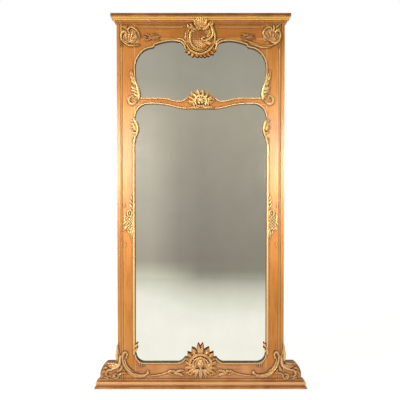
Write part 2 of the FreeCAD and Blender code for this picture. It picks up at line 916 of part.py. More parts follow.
def makeCrest():
    r = number(cell("crestRadius"))
    h = number(cell("reliefHigh"))
    profile = [(0, h * 0.5), (0.60, h * 0.6), (0.68, h * 1.5), (0.80, h * 1.5), (0.88, h)]
    profile += [(1, h * 0.5), (1, 0)]
    pieces = [fluted(r * 1.06, profile, 18, lambda a: 1 if math.sin(a) < 0.2 else 0.9,
                     lambda a: 1 if math.sin(a) < -0.1 else 0)]
    pieces.append(ridge(spiral((r * 0.16, 0), (r * 0.62, r * 0.16), (75, -220), 11), [r * 0.09, r * 0.07],
                        [h * 1.7, h * 1.4]))
    for lean, reach in ((-0.62, 1.05), (-0.30, 1.30), (0.02, 1.48), (0.32, 1.26), (0.60, 1.0)):
        path = flowing([(lean * r * 0.3, r * 0.66), (lean * r * 0.7, r * 0.9), (lean * r, r * reach)], 4)
        pieces.append(ridge(path, [r * 0.08, r * 0.13, r * 0.09, r * 0.02], [h * 0.9, h * 0.9, h * 0.5],
                            [0, h * 0.95, h * 1.95]))
    feature("crest_cartouche", planted(pieces, -cell("crestShift"), frameTop - cell("crestDrop")))


def makeCornerCartouches():
    s = number(cell("cornerCartoucheSize"))
    h = number(cell("reliefHigh"))
    big = [(0.53, 0.58), (1.0, 0.2), (1.02, -0.1), (0.85, -0.48), (0.5, -0.75), (0.1, -0.9), (-0.5, -0.88)]
    big = flowing(scaled(big, s), 9)
    upper = [(0.37, 0.74), (0.16, 1.02), (-0.16, 1.0), (-0.53, 0.74), (-0.8, 0.37), (-0.95, -0.1)]
    upper = flowing(scaled(upper + [(-1.06, -0.63)], s), 9)
    profile = [(0, h * 0.7), (0.5, h), (0.9, h * 0.8), (1, 0)]
    pieces = [fluted(s * 0.72, profile, 8, lambda a: 0.8 + 0.2 * math.sin(a))]
    pieces.append(ridge(big, [s * 0.1, s * 0.16, s * 0.12, s * 0.05], [h * 0.8, h * 1.2, h * 0.8]))
    pieces.append(ridge(upper, [s * 0.1, s * 0.15, s * 0.12, s * 0.05], [h * 0.9, h * 1.2, h * 0.7]))
    pieces.append(boss((s * 0.42, s * 0.6), s * 0.2, s * 0.2, h * 1.2, 6))
    shape = planted(pieces, inner + cell("cornerCartoucheOut"), friezeBottom + cell("cornerCartoucheRise"))
    pair("corner_cartouche", shape)


def makeFriezeSprays():
    s = number(cell("spraySize"))
    h = number(cell("reliefHigh"))
    pieces = [boss((0, 0), s * 0.28, s * 0.26, h * 0.8)]
    for points in (
        [(s * 0.2, 0), (s * 0.65, s * 0.18), (s * 1.15, s * 0.02)],
        [(s * 0.2, -s * 0.05), (s * 0.6, -s * 0.24), (s * 0.95, -s * 0.3)],
        [(-s * 0.2, 0), (-s * 0.6, s * 0.22), (-s * 1.05, s * 0.18)],
        [(-s * 0.2, -s * 0.05), (-s * 0.55, -s * 0.2), (-s * 0.95, -s * 0.16)],
    ):
        pieces.append(leaf(points, s * 0.15, h * 0.6))
    pair("frieze_spray", planted(pieces, inner - cell("sprayInset"), friezeBottom + cell("sprayRise")))


def makeGarlands():
    long = number(cell("garlandLong"))
    h = number(cell("reliefHigh"))
    stem = scaled([(0.14, 1), (0.07, 0.6), (0.01, 0.3), (-0.10, 0.03)], long)
    pieces = [ridge(flowing(stem, 8), [3, 6, 7, 5], [h * 0.4, h * 0.8, h * 0.6])]
    for place, lean in ((0.86, 1), (0.70, -1), (0.55, 1), (0.40, -1), (0.26, 1)):
        x = 0.08 * place + 0.035
        tip = [(x, place), (x + lean * 0.05, place - 0.07), (x + lean * 0.07, place - 0.175)]
        pieces.append(leaf(scaled(tip, long), long * 0.04, h * 0.9))
    curl = spiral((long * 0.134, -long * 0.07), (long * 0.14, long * 0.035), (150, 500), 12)
    pieces.append(ridge(curl, [5, 7, 4], [h * 0.7, h]))
    pair("upper_garland", planted(pieces, inner, railTop))


def makeMiddleShell():
    s = number(cell("shellSize"))
    h = number(cell("reliefHigh"))
    rim = [(0, 0.98), (0.27, 1.14), (0.52, 0.84), (0.95, 0.90), (1.05, 0.58), (1.42, 0.42), (1.30, 0.08)]
    rim += [(1.22, -0.22), (0.98, -0.40), (0.86, -0.72), (0.52, -0.74), (0.28, -0.94), (0, -0.86)]
    profile = [(0, h * 1.3), (0.25, h * 1.4), (0.4, h * 0.8), (0.8, h * 1.2), (1, h * 0.5), (1, 0)]
    feature("middle_shell", planted([fan(scaled(rim, s), profile)], 0, railTop - cell("shellDrop")))


def makeSideScrolls():
    long = number(cell("sideScrollLong"))
    h = number(cell("reliefHigh"))
    inward = [(0.03, 1.0), (-0.01, 0.88), (-0.05, 0.72), (-0.09, 0.52), (-0.05, 0.36), (0, 0.2), (0.05, 0.02)]
    pieces = [ridge(flowing(scaled(inward, long), 10), [6, 9, 8, 6], [h * 0.7, h * 1.1, h * 0.6])]
    curl = spiral((long * 0.06, long * 0.44), (long * 0.117, long * 0.03), (190, -150), 10)
    pieces.append(ridge(curl, [6, 4], [h, h * 0.8]))
    for points in (
        [(0.16, 0.96), (0.12, 0.8), (0.035, 0.66)],
        [(0.06, 0.3), (0.08, 0.18), (0.06, 0.02)],
    ):
        pieces.append(leaf(scaled(points, long), long * 0.047, h * 0.8))
    pair("side_scroll", planted(pieces, inner, spandrelFoot - long - number(cell("sideScrollGap"))))


def makeTrellises():
    long = number(cell("trellisLong"))
    h = number(cell("reliefHigh")) * 0.7
    pieces = []
    leaves = [[(-0.03, place), (-0.046, place - 0.07), (-0.03, place - 0.15)] for place in (0.50, 0.40, 0.30)]
    leaves.append([(-0.037, -0.10), (-0.05, -0.22), (-0.025, -0.32)])
    for points in leaves:
        pieces.append(leaf(scaled(points, long), long * 0.0215, h))
    for x, z, halfWide, halfHigh, high, sides, top in (
        (-0.025, 0.18, 0.043, 0.074, h, 8, 0.55),
        (0.012, -0.025, 0.117, 0.16, h * 0.5, 4, 0.7),
        (0.068, 0.36, 0.0215, 0.034, h, 6, 0.55),
        (0.062, -0.42, 0.0215, 0.049, h, 6, 0.55),
    ):
        pieces.append(boss((x * long, z * long), halfWide * long, halfHigh * long, high, sides, top))
    pair("trellis", planted(pieces, inner + cell("trellisOut"), cell("trellisMiddle")))


def makeBaseShell():
    s = number(cell("baseShellSize"))
    h = number(cell("reliefHigh"))
    rim = [(0, 1.09), (0.11, 1.22), (0.20, 0.92), (0.49, 0.94), (0.58, 0.62), (0.83, 0.62), (0.86, 0.33)]
    rim += [(0.94, 0.18), (0.90, -0.02), (1.02, -0.28), (0.92, -0.52), (0.98, -0.86), (0.66, -0.92)]
    rim += [(0.50, -1.10), (0.25, -1.02), (0, -1.12)]
    profile = [(0, h * 0.5), (0.40, h * 0.5), (0.46, h * 1.5), (0.60, h * 1.5), (0.68, h * 0.8)]
    profile += [(0.9, h * 1.1), (1, h * 0.4), (1, 0)]
    feature("base_shell", planted([fan(scaled(rim, s), profile)], 0, cell("baseShellMiddle")))
    tall = number(cell("maskHigh"))
    rows = []
    for share, rise in ((0.9, 0.5), (1.0, 0.8), (0.9, 1.3), (0.62, 1.75), (0.3, 1.95)):
        row = []
        for i in range(12):
            angle = 2 * math.pi * i / 12
            narrowing = 1 + 0.12 * math.sin(angle)
            x = tall * 0.34 * share * narrowing * math.cos(angle)
            row.append(Vector(x, -h * rise, tall * 0.5 * share * math.sin(angle)))
        rows.append(row)
    mask = solidOf(rows)
    feature("base_mask", planted([mask], 0, cell("baseShellMiddle")))


def makeBaseScrolls():
    s = number(cell("baseScrollSize"))
    h = number(cell("reliefHigh"))
    arm = [(0.6, 0.68), (0.72, 0.5), (0.765, 0.25), (0.67, -0.06), (0.45, -0.38), (0.13, -0.57)]
    arm += [(-0.19, -0.69), (-0.51, -0.73), (-0.76, -0.64)]
    pieces = [ridge(flowing(scaled(arm, s), 12), [6, 9, 10, 9, 6], [h, h * 1.4, h * 1.2, h * 0.8])]
    pieces.append(ridge(spiral((s * 0.56, s * 0.80), (s * 0.13, s * 0.04), (-90, 250), 9), [6, 4], [h * 1.1]))
    pieces.append(boss((-s * 0.78, -s * 0.56), 10, 10, h))
    outerArm = [(0.74, 0.55), (0.94, 0.13), (1.1, -0.12), (1.4, -0.27), (1.69, -0.38)]
    outerArm += [(1.84, -0.52), (1.76, -0.66)]
    pieces.append(ridge(flowing(scaled(outerArm, s), 9), [4, 8, 9, 5], [h * 0.7, h * 1.2, h]))
    pair("base_scroll", planted(pieces, inner, bottomTop - cell("baseScrollDrop")))


def makeBaseSprays():
    long = number(inner - cell("baseSprayInset") - cell("baseSprayIn"))
    h = number(cell("reliefHigh")) * 0.8
    stem = scaled([(1, -0.037), (0.76, -0.05), (0.62, -0.01), (0.46, 0.05)], long)
    pieces = [ridge(flowing(stem, 7), [2, 3, 5], [h * 0.5, h * 0.7])]
    for points in (
        [(0.48, 0.047), (0.25, 0.093), (0.02, 0.037)],
        [(0.46, 0.037), (0.28, 0), (0.1, -0.056)],
        [(0.44, 0.056), (0.34, 0.116), (0.2, 0.14)],
    ):
        pieces.append(leaf(scaled(points, long), long * 0.037, h * 1.1))
    pair("base_spray", planted(pieces, cell("baseSprayIn"), bottomTop - cell("baseSprayDrop")))


def makeShoulderLeaves():
    """Two leaves and a curl on the shoulder, and an ear up the edge of the stile; z from the floor."""
    s = number(cell("shoulderLeafSize"))
    h = number(cell("reliefHigh"))
    pieces = []
    for points in (
        [(0.09, 1.42), (0.36, 1.53), (0.67, 1.44)],
        [(0.16, 1.36), (0.49, 1.36), (0.8, 1.2)],
    ):
        pieces.append(leaf(scaled(points, s), s * 0.08, h))
    curl = spiral((s * 0.29, s * 0.845), (s * 0.118, s * 0.036), (200, -130), 9)
    pieces.append(ridge(curl, [5, 4], [h * 0.9]))
    ear = scaled([(-0.036, 2.65), (0.018, 2.27), (0.036, 1.93), (0.036, 1.56)], s)
    pieces.append(ridge(flowing(ear, 8), [2, 7, 9, 8], [h * 0.4, h * 0.9, h]))
    pair("shoulder_leaf", planted(pieces, outer, 0))


def build():
    makeStile("stile_left", -1)
    makeStile("stile_right", 1)
    makeFriezeRail()
    makeMiddleRail()
    makeBottomRail()
    makeOpeningPieces("left", -1)
    makeOpeningPieces("right", 1)
    makeHead()
    makeFoot()
    makeGlassAndBack()
    makeBlocks()
    makeHangers()
    makeLips()
    makeFriezeBead()
    makeCrest()
    makeCornerCartouches()
    makeFriezeSprays()
    makeGarlands()
    makeMiddleShell()
    makeSideScrolls()
    makeTrellises()
    makeBaseShell()
    makeBaseScrolls()
    makeBaseSprays()
    makeShoulderLeaves()


def write():
    doc.recompute()
    for item in doc.Objects:
        if "Invalid" in item.State or "Error" in item.State:
            raise RuntimeError(f"{item.Name} did not build: {item.State}")
    os.makedirs("parts", exist_ok=True)
    subParts = [item for item in doc.Objects if item.TypeId in ("PartDesign::Body", "Part::Feature")]
    for item in subParts:
        if item.Shape.isNull() or not item.Shape.isValid():
            raise RuntimeError(f"{item.Label} has no valid shape")
    for item in subParts:
        item.Shape.exportStep(os.path.join("parts", item.Label + ".step"))
    print(len(subParts), "sub-parts")


build()
write()
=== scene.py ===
import math
from functools import partial
import bpy
import numpy as np
from mathutils import Matrix, Vector


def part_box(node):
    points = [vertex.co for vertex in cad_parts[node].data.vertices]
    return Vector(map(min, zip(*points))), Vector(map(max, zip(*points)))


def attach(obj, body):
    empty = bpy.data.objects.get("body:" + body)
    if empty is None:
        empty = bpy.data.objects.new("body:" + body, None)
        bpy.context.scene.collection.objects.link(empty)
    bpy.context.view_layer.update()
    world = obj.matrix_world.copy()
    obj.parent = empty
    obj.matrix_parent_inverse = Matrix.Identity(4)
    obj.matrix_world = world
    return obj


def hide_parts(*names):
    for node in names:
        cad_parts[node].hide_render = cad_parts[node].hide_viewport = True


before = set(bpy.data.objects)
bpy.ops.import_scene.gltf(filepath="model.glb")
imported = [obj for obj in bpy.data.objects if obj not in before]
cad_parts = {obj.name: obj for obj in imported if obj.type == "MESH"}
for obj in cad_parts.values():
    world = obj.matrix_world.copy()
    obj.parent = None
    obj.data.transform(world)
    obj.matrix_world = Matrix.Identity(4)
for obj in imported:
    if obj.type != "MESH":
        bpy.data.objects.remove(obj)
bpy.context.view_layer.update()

# A tall mirror with two plates in a carved and bronzed wooden frame.
# Metres; x to the right, y to the back, z up. Carving is drawn in millimetres round its own middle.
mm = 0.001
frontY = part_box("stile_left")[0].y  # face of the boards, where the carving is planted


def linear(hexColour):
    parts = [int(hexColour[i:i + 2], 16) / 255 for i in (0, 2, 4)]
    return tuple(p / 12.92 if p < 0.04045 else ((p + 0.055) / 1.055) ** 2.4 for p in parts) + (1,)


# An input is a number, a hex colour, a socket, or another node, which gives its first output.
def addNode(tree, kind, inputs=None, stops=None, **settings):
    node = tree.nodes.new("ShaderNode" + kind)
    for key, value in settings.items():
        setattr(node, key, value)
    for key, value in (inputs or {}).items():
        if isinstance(value, bpy.types.Node):
            value = value.outputs[0]
        if isinstance(value, bpy.types.NodeSocket):
            tree.links.new(value, node.inputs[key])
        else:
            node.inputs[key].default_value = linear(value) if isinstance(value, str) else value
    if stops:  # places and colours of a ramp
        stops, colours = list(stops), node.color_ramp.elements
        colours.remove(colours[0])
        colours[0].position, colours[0].color = stops[0][0], linear(stops[0][1])
        for place, colour in stops[1:]:
            colours.new(place).color = linear(colour)
    return node


def newMaterial(name):
    material = bpy.data.materials.new(name)
    material.use_nodes = True
    material.node_tree.nodes.clear()
    return material, partial(addNode, material.node_tree)


# Bronzed wood: gesso and bole under bronze powder in a toned varnish, brushed on along the board.
# A satin copper gold, streaked along the grain, with painted shade in the hollows and rubbed at the edges.
bronzedWoodLook = {
    "streak": 2.2 * mm,  # width of a brush streak; a real one is 0.5 mm, drawn coarser so that it shows
    "streakLong": 70,  # times its width
    "cloud": 90 * mm,  # uneven colour of the coat
    "cloudLong": 2.6,
    "grit": 1.4 * mm,
    "roughness": 0.27,
    "gritRoughness": 0.16,
    "dullRoughness": 0.3,  # added on bare wood
    "metallic": 0.36,
    "varnish": 0.38,
    "varnishRoughness": 0.21,
    # painted shade: within this reach, ambient occlusion darkens hollows and the board beside the carving
    "hollowReach": 13 * mm,
    "hollow": "4A260E",
    "edgeReach": 5 * mm,
    "edge": "EBB974",
    # the faces towards the plates are bare of bronze and darkened further as painted shade of the rebate
    "shadedReveal": "4A3A1E",  # edges of the boards towards the plates, left dark
    "revealX": 433 * mm,
    "revealFoot": 158 * mm,
    "revealHead": 2262 * mm,
    "bare": ("6E5030", "8A6844", "A58358"),  # back of the boards, not bronzed
}


# the band is a run moulding picked out in gold, between two distances from the middle or two heights
# on the plinth the band is a painted highlight
def bronzedWood(name, along, tones, giltAndHighlightBand=None, gold=None, share=0):
    look = bronzedWoodLook
    material, add = newMaterial(name)
    place = add("TexCoord").outputs["Object"]
    scale = [1 / look["streak"] / (look["streakLong"] if axis == along else 1) for axis in "xyz"]
    brushed = add("Mapping", {"Vector": place, "Scale": scale})
    streaks = add("TexNoise", {"Vector": brushed, "Scale": 1, "Detail": 3, "Roughness": 0.55})
    scale = [1 / look["cloud"], 1 / look["cloud"], 1 / look["cloud"] / look["cloudLong"]]
    drawnOut = add("Mapping", {"Vector": place, "Scale": scale})
    clouds = add("TexNoise", {"Vector": drawnOut, "Scale": 1, "Detail": 4, "Roughness": 0.55})
    fine = add("TexNoise", {"Vector": place, "Scale": 1 / look["grit"], "Detail": 2, "Roughness": 0.55})
    tone = add("Mix", {0: 0.6, 2: clouds, 3: streaks})
    colour = add("ValToRGB", {0: tone}, zip((0.36, 0.5, 0.66), tones))
    # painted shade: ambient occlusion darkens the hollows and the board beside the carving
    hollow = add("AmbientOcclusion", {"Distance": look["hollowReach"]}, samples=6).outputs["AO"]
    hollow = add("MapRange", {0: hollow, 1: 0.96, 2: 0.5, 3: 0, 4: 0.9})
    colour = add("Mix", {0: hollow, 6: colour, 7: look["hollow"]}, data_type="RGBA").outputs[2]
    edge = add("AmbientOcclusion", {"Distance": look["edgeReach"]}, samples=6, inside=True).outputs["AO"]
    edge = add("MapRange", {0: edge, 1: 0.96, 2: 0.6})
    worn = add("MapRange", {0: clouds, 1: 0.35, 2: 0.6, 3: 0.35, 4: 0.8})
    rubbed = add("Math", {0: edge, 1: worn}, operation="MULTIPLY")
    colour = add("Mix", {0: rubbed, 6: colour, 7: look["edge"]}, data_type="RGBA").outputs[2]
    where = add("SeparateXYZ", {0: place}).outputs
    if giltAndHighlightBand:
        axis, low, high = giltAndHighlightBand
        reach = add("Math", {0: where[axis]}, operation="ABSOLUTE")
        band = add("Math", {0: reach, 1: (low + high) / 2, 2: (high - low) / 2}, operation="COMPARE")
        leaf = add("Math", {0: band, 1: share}, operation="MULTIPLY")
        colour = add("Mix", {0: leaf, 6: colour, 7: gold}, data_type="RGBA").outputs[2]
    facing = add("SeparateXYZ", {0: add("NewGeometry").outputs["True Normal"]}).outputs["Y"]
    # faces towards the plates: bare wood, darkened as painted shade
    foot, head = look["revealFoot"], look["revealHead"]
    shadedReveal = add("Math", {0: facing, 1: 0, 2: 0.5}, operation="COMPARE")
    for axis, middle, half in (("X", 0, look["revealX"]), ("Z", (foot + head) / 2, (head - foot) / 2)):
        near = add("Math", {0: where[axis], 1: middle, 2: half}, operation="COMPARE")
        shadedReveal = add("Math", {0: shadedReveal, 1: near}, operation="MULTIPLY")
    colour = add("Mix", {0: shadedReveal, 6: colour, 7: look["shadedReveal"]}, data_type="RGBA").outputs[2]
    back = add("Math", {0: facing, 1: 0.5}, operation="GREATER_THAN")
    bare = add("ValToRGB", {0: tone}, zip((0.3, 0.5, 0.7), look["bare"]))
    colour = add("Mix", {0: back, 6: colour, 7: bare}, data_type="RGBA").outputs[2]
    dull = add("Math", {0: shadedReveal, 1: back}, operation="MAXIMUM")
    matt = add("MapRange", {0: fine, 3: look["roughness"], 4: look["roughness"] + look["gritRoughness"]})
    relief = add("Mix", {0: 0.3, 2: streaks, 3: fine})
    shader = add("BsdfPrincipled", {
        "Base Color": colour,
        "Metallic": add("MapRange", {0: dull, 3: look["metallic"], 4: 0}),
        "Roughness": add("Math", {0: dull, 1: look["dullRoughness"], 2: matt}, operation="MULTIPLY_ADD"),
        "Coat Weight": add("MapRange", {0: dull, 3: look["varnish"], 4: 0}),
        "Coat Roughness": look["varnishRoughness"],
        "Normal": add("Bump", {"Strength": 0.35, "Distance": 0.25 * mm, "Height": relief}),
    })
    add("OutputMaterial", {"Surface": shader})
    return material


# Rubbed gilding: bronze leaf over red bole on carved gesso, painted shade in the hollows, crests burnished
# with painted highlight.
rubbedGiltLook = {
    "blotch": 14 * mm,
    "grit": 1.6 * mm,
    "crackle": 5 * mm,
    "bole": "8E4520",
    "hollowReach": 13 * mm,
    "roughness": 0.34,
    "hollowRoughness": 0.22,  # added in the hollows
    "metallic": 0.55,
}


# tones run from the hollows, in painted shade, to the crests with a painted highlight; crests stand high
# above the board
def rubbedGilt(name, high=13 * mm, tones=("442408", "A0662A", "DCA254", "FFDC96")):
    look = rubbedGiltLook
    material, add = newMaterial(name)
    place = add("TexCoord").outputs["Object"]
    blotches = add("TexNoise", {"Vector": place, "Scale": 1 / look["blotch"], "Detail": 4, "Roughness": 0.55})
    fine = add("TexNoise", {"Vector": place, "Scale": 1 / look["grit"], "Detail": 2, "Roughness": 0.55})
    crackle = add("TexNoise", {"Vector": place, "Scale": 1 / look["crackle"], "Detail": 5, "Roughness": 0.55})
    # painted shade from ambient occlusion, lifted towards the crests, whose top tone is a painted highlight
    shade = add("AmbientOcclusion", {"Distance": look["hollowReach"]}, samples=8).outputs["AO"]
    forward = add("SeparateXYZ", {0: place}).outputs["Y"]
    rise = add("MapRange", {0: forward, 1: frontY - 1 * mm, 2: frontY - high, 3: 0.55, 4: 1})
    shade = add("Math", {0: shade, 1: rise}, operation="MULTIPLY")
    drift = add("MapRange", {0: blotches, 3: -0.25, 4: 0.25})
    tone = add("Math", {0: shade, 1: drift}, operation="ADD")
    colour = add("ValToRGB", {0: tone}, zip((0.26, 0.5, 0.76, 0.98), tones))
    worn = add("MapRange", {0: crackle, 1: 0.6, 2: 0.68, 3: 0, 4: 0.35})
    relief = add("Mix", {0: 0.4, 2: blotches, 3: fine})
    shader = add("BsdfPrincipled", {
        "Base Color": add("Mix", {0: worn, 6: colour, 7: look["bole"]}, data_type="RGBA").outputs[2],
        "Metallic": look["metallic"],
        "Roughness": add("MapRange", {0: tone, 1: 0.4, 3: look["roughness"] + look["hollowRoughness"],
                                      4: look["roughness"]}),
        "Normal": add("Bump", {"Strength": 0.4, "Distance": 0.5 * mm, "Height": relief}),
    })
    add("OutputMaterial", {"Surface": shader})
    return material


# Pine: planed softwood, unfinished, with early and late wood about 5 mm apart, grey with dust and age.
pineLook = {"ring": 5 * mm, "wander": 60 * mm, "long": 28, "dust": 120 * mm, "dustColour": "8C8275",
            "dark": "7C5B38", "pale": "B08E62", "palest": "C3A276", "roughness": 0.74}


def pine(name, along):
    look = pineLook
    material, add = newMaterial(name)
    place = add("TexCoord").outputs["Object"]
    stretch = [1 / look["long"] if axis == along else 1 for axis in "xyz"]
    grain = add("Mapping", {"Vector": place, "Scale": stretch})
    wander = add("TexNoise", {"Vector": grain, "Scale": 1 / look["wander"], "Detail": 2, "Roughness": 0.55})
    rings = add("TexNoise", {"Vector": grain, "Scale": 1 / look["ring"], "Detail": 3, "Roughness": 0.55})
    dust = add("TexNoise", {"Vector": place, "Scale": 1 / look["dust"], "Detail": 4, "Roughness": 0.55})
    tones = (look["dark"], look["pale"], look["palest"], look["dark"])
    tone = add("Mix", {0: 0.3, 2: rings, 3: wander})
    colour = add("ValToRGB", {0: tone}, zip((0.36, 0.52, 0.62, 0.7), tones))
    dusty = add("MapRange", {0: dust, 1: 0.5, 2: 0.75, 3: 0, 4: 0.35})
    colour = add("Mix", {0: dusty, 6: colour, 7: look["dustColour"]}, data_type="RGBA").outputs[2]
    bump = add("Bump", {"Strength": 0.3, "Distance": 0.3 * mm, "Height": rings})
    shader = add("BsdfPrincipled", {"Base Color": colour, "Roughness": look["roughness"], "Normal": bump})
    add("OutputMaterial", {"Surface": shader})
    return material


# Silvered glass: an old plate, faintly grey, its silver slightly foxed.
def silveredGlass(name):
    material, add = newMaterial(name)
    place = add("TexCoord").outputs["Object"]
    haze = add("TexNoise", {"Vector": place, "Scale": 1 / (160 * mm), "Detail": 3, "Roughness": 0.55})
    specks = add("TexNoise", {"Vector": place, "Scale": 1 / (3 * mm), "Detail": 4, "Roughness": 0.55})
    colour = add("ValToRGB", {0: haze}, [(0.3, "E4E3DC"), (0.7, "EAE9E3")])
    foxed = add("MapRange", {0: specks, 1: 0.74, 2: 0.8, 3: 0, 4: 0.25})
    colour = add("Mix", {0: foxed, 6: colour, 7: "9C9684"}, data_type="RGBA").outputs[2]
    roughness = add("MapRange", {0: haze, 1: 0.3, 2: 0.7, 3: 0.015, 4: 0.03})
    shader = add("BsdfPrincipled", {"Base Color": colour, "Metallic": 1, "Roughness": roughness})
    add("OutputMaterial", {"Surface": shader})
    return material


# Zinc-plated steel: pressed plate, dull grey with a faint crystal bloom about 6 mm across.
def zincSteel(name):
    material, add = newMaterial(name)
    place = add("TexCoord").outputs["Object"]
    bloom = add("TexVoronoi", {"Vector": place, "Scale": 1 / (6 * mm)}).outputs["Color"]
    tone = add("RGBToBW", {0: bloom})
    colour = add("ValToRGB", {0: tone}, [(0, "77756F"), (1, "A3A19B")])
    roughness = add("MapRange", {0: tone, 3: 0.34, 4: 0.5})
    shader = add("BsdfPrincipled", {"Base Color": colour, "Metallic": 1, "Roughness": roughness})
    add("OutputMaterial", {"Surface": shader})
    return material


corniceFoot, corniceHead = (corner.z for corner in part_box("cornice_front"))
gildedEdge = ("X", 496.5 * mm, 509.5 * mm)  # bead of the stiles
gildedCornice = ("Z", corniceFoot + 0.47 * (corniceHead - corniceFoot), corniceHead - 4 * mm)
# painted highlight: a pale gold band along the top of the plinth's torus, where its highlight falls
plinthHighlightBand = ("Z", 26 * mm, 43 * mm)
uprightTones = ("AE621A", "CC7E26", "DC923E")
levelTones = ("A65E14", "C27620", "D48A34")
footTones = ("A06030", "CA8448", "E2A468")
upright = bronzedWood("bronzed wood, upright", "z", uprightTones, gildedEdge, "D49A4A", 0.55)
level = bronzedWood("bronzed wood, level", "x", levelTones)
cornice = bronzedWood("bronzed wood of the cornice", "x", levelTones, gildedCornice, "FFC25C", 0.9)
# painted shade: the top board has darker tones than the rest of the bronzed wood
dark = bronzedWood("bronzed wood in painted shade", "x", ("6A3A18", "8A5128", "A8683A"))
foot = bronzedWood("bronzed wood of the foot", "x", footTones)
plinth = bronzedWood("bronzed wood of the plinth", "x", footTones, plinthHighlightBand, "FFC27C", 0.75)
carvedGround = bronzedWood("bronzed wood, carved ground", "x", ("8E4E18", "AC6622", "C8823A"))
gilt = rubbedGilt("rubbed gilding")
giltTop = rubbedGilt("rubbed gilding of the head", 16 * mm, ("3E1C04", "8E5620", "C88C42", "F0BC74"))
giltLip = rubbedGilt("rubbed gilding of the lips", 6 * mm, ("5A3614", "A86E34", "D49C56", "F0C080"))
giltLow = rubbedGilt("rubbed gilding, low relief", 7 * mm)
giltFoot = rubbedGilt("rubbed gilding of the foot", 12 * mm, ("3C1E0A", "8E5A2C", "C88E50", "EFC088"))
carvedWood = rubbedGilt("bronzed carving", 10 * mm, ("3C1C06", "84491E", "AE7038", "CC9660"))
plate = silveredGlass("silvered glass")
zinc = zincSteel("zinc plated steel")


def sides(*names):
    return [f"{name}_{hand}" for name in names for hand in ("left", "right")]


coats = [
    (upright, sides("stile", "upper_slip", "arch_spandrel", "lower_spandrel")),
    (level, ["frieze_rail", "middle_rail"]),
    (cornice, ["cornice_front"] + sides("cornice_return")),
    (dark, ["top_board"]),
    (foot, ["bottom_rail", "ground_board"] + sides("shoulder")),
    (plinth, ["plinth_front"] + sides("plinth_return")),
    (plate, ["upper_mirror", "lower_mirror"]),
    (pine("pine, upright", "z"), ["upper_backboard", "lower_backboard"]),
    (pine("pine, level", "x"), ["cross_batten", "mirror_blocks"]),
    (zinc, ["hanger_plates"]),
    (giltLip, sides("upper_lip", "lower_top_lip", "side_lip", "bottom_lip") + ["middle_lip", "frieze_bead"]),
    (gilt, sides("corner_cartouche", "frieze_spray", "upper_garland", "side_scroll", "trellis")),
    (gilt, sides("base_scroll", "base_spray", "shoulder_leaf")),
    (gilt, ["crest_cartouche", "middle_shell", "base_shell", "base_mask"]),
]
for coat, names in coats:
    for name in names:
        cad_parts[name].data.materials.clear()
        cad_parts[name].data.materials.append(coat)
print("materials on the boards, plates and back")

# Carving: every ornament is one closed relief. A fine grid is raised by its strokes (bands, scrolls, leaves,
# shells, buttons, lattice), trimmed to their outline, given walls down to the board and stood upright.
# Strokes are in millimetres round the ornament's own middle: across, up, and out towards the viewer.
relief = {
    "step": 1.3,  # spacing of the grid
    "edge": 1.6,  # lowest rise at an outline
    "round": 0.8,  # how far a narrow stroke rounds over, as a share of its half width
    "tool": 0.22,  # waviness left by the gouge
    "seat": 0.2,  # sunk into the board
    "scrollRim": 0.72,  # where the two raised rims of a scroll run, as a share of its half width
    "lobeCut": 0.38,  # how deep the edge of a leaf is cut between its lobes
    "petalCut": 0.28,
    "lipWide": 1.4,  # rim round a lattice, in bars
}


# A band runs along a path, with its half width and its rise from start to end; count is lobes or turns.
def band(kind, path, wide, high, count=0):
    return {"kind": kind, "path": path, "wide": wide, "high": high, "count": count}


ridge, leaf, scroll, roped = (partial(band, kind) for kind in ("ridge", "leaf", "scroll", "roped"))


def button(x, y, wide, tall, high, petals=0, turn=0, sink=0):
    return {"kind": "button", "path": [(x, y)], "wide": wide, "tall": tall, "high": high, "petals": petals,
            "turn": turn, "sink": sink}


# A ribbed fan: its rim is walked round, valleys and tips of ribs in turn, and cut is the depth between ribs.
def shell(x, y, cut, high, rim):
    return {"kind": "shell", "at": (x, y), "cut": cut, "high": high, "path": rim}


def lattice(box, pitch, bar, high):
    return {"kind": "lattice", "path": [box[:2], box[2:]], "pitch": pitch, "bar": bar, "high": high}


# a stroke and its twin on the other side of the middle
def both(stroke):
    return [stroke, dict(stroke, path=[(-x, y) for x, y in stroke["path"]])]


# smooth curve through the points
def along(points, steps):
    points = np.array(points, float)
    if len(points) == 2:
        t = np.linspace(0, 1, steps)[:, None]
        return points[0] * (1 - t) + points[1] * t
    padded = np.vstack([2 * points[0] - points[1], points, 2 * points[-1] - points[-2]])
    count = max(2, round(steps / (len(points) - 1)))
    result = []
    for i in range(len(points) - 1):
        a, b, c, d = padded[i:i + 4]
        second, third = 2 * a - 5 * b + 4 * c - d, 3 * b - a - 3 * c + d
        for t in np.linspace(0, 1, count, endpoint=False):
            result.append(0.5 * (2 * b + (c - a) * t + second * t ** 2 + third * t ** 3))
    result.append(points[-1])
    return np.array(result)


def stations(values, place):
    values = [values] if isinstance(values, (int, float)) else values
    return np.interp(place, np.linspace(0, 1, len(values)), values)


# distance to a path, the side it lies on and the share of its length, at each point
def follow(x, y, path):
    lengths = np.hypot(*np.diff(path, axis=0).T)
    total = lengths.sum()
    best = np.full(x.shape, 1e9)
    side = np.zeros(x.shape)
    share = np.zeros(x.shape)
    start = 0.0
    for (ax, ay), (bx, by), length in zip(path, path[1:], lengths):
        ux, uy = (bx - ax) / length, (by - ay) / length
        run = np.clip((x - ax) * ux + (y - ay) * uy, 0, length)
        dx, dy = x - ax - run * ux, y - ay - run * uy
        away = np.hypot(dx, dy)
        near = away < best
        best = np.where(near, away, best)
        side = np.where(near, np.sign(ux * dy - uy * dx), side)
        share = np.where(near, (start + run) / total, share)
        start += length
    return best, side, share, total


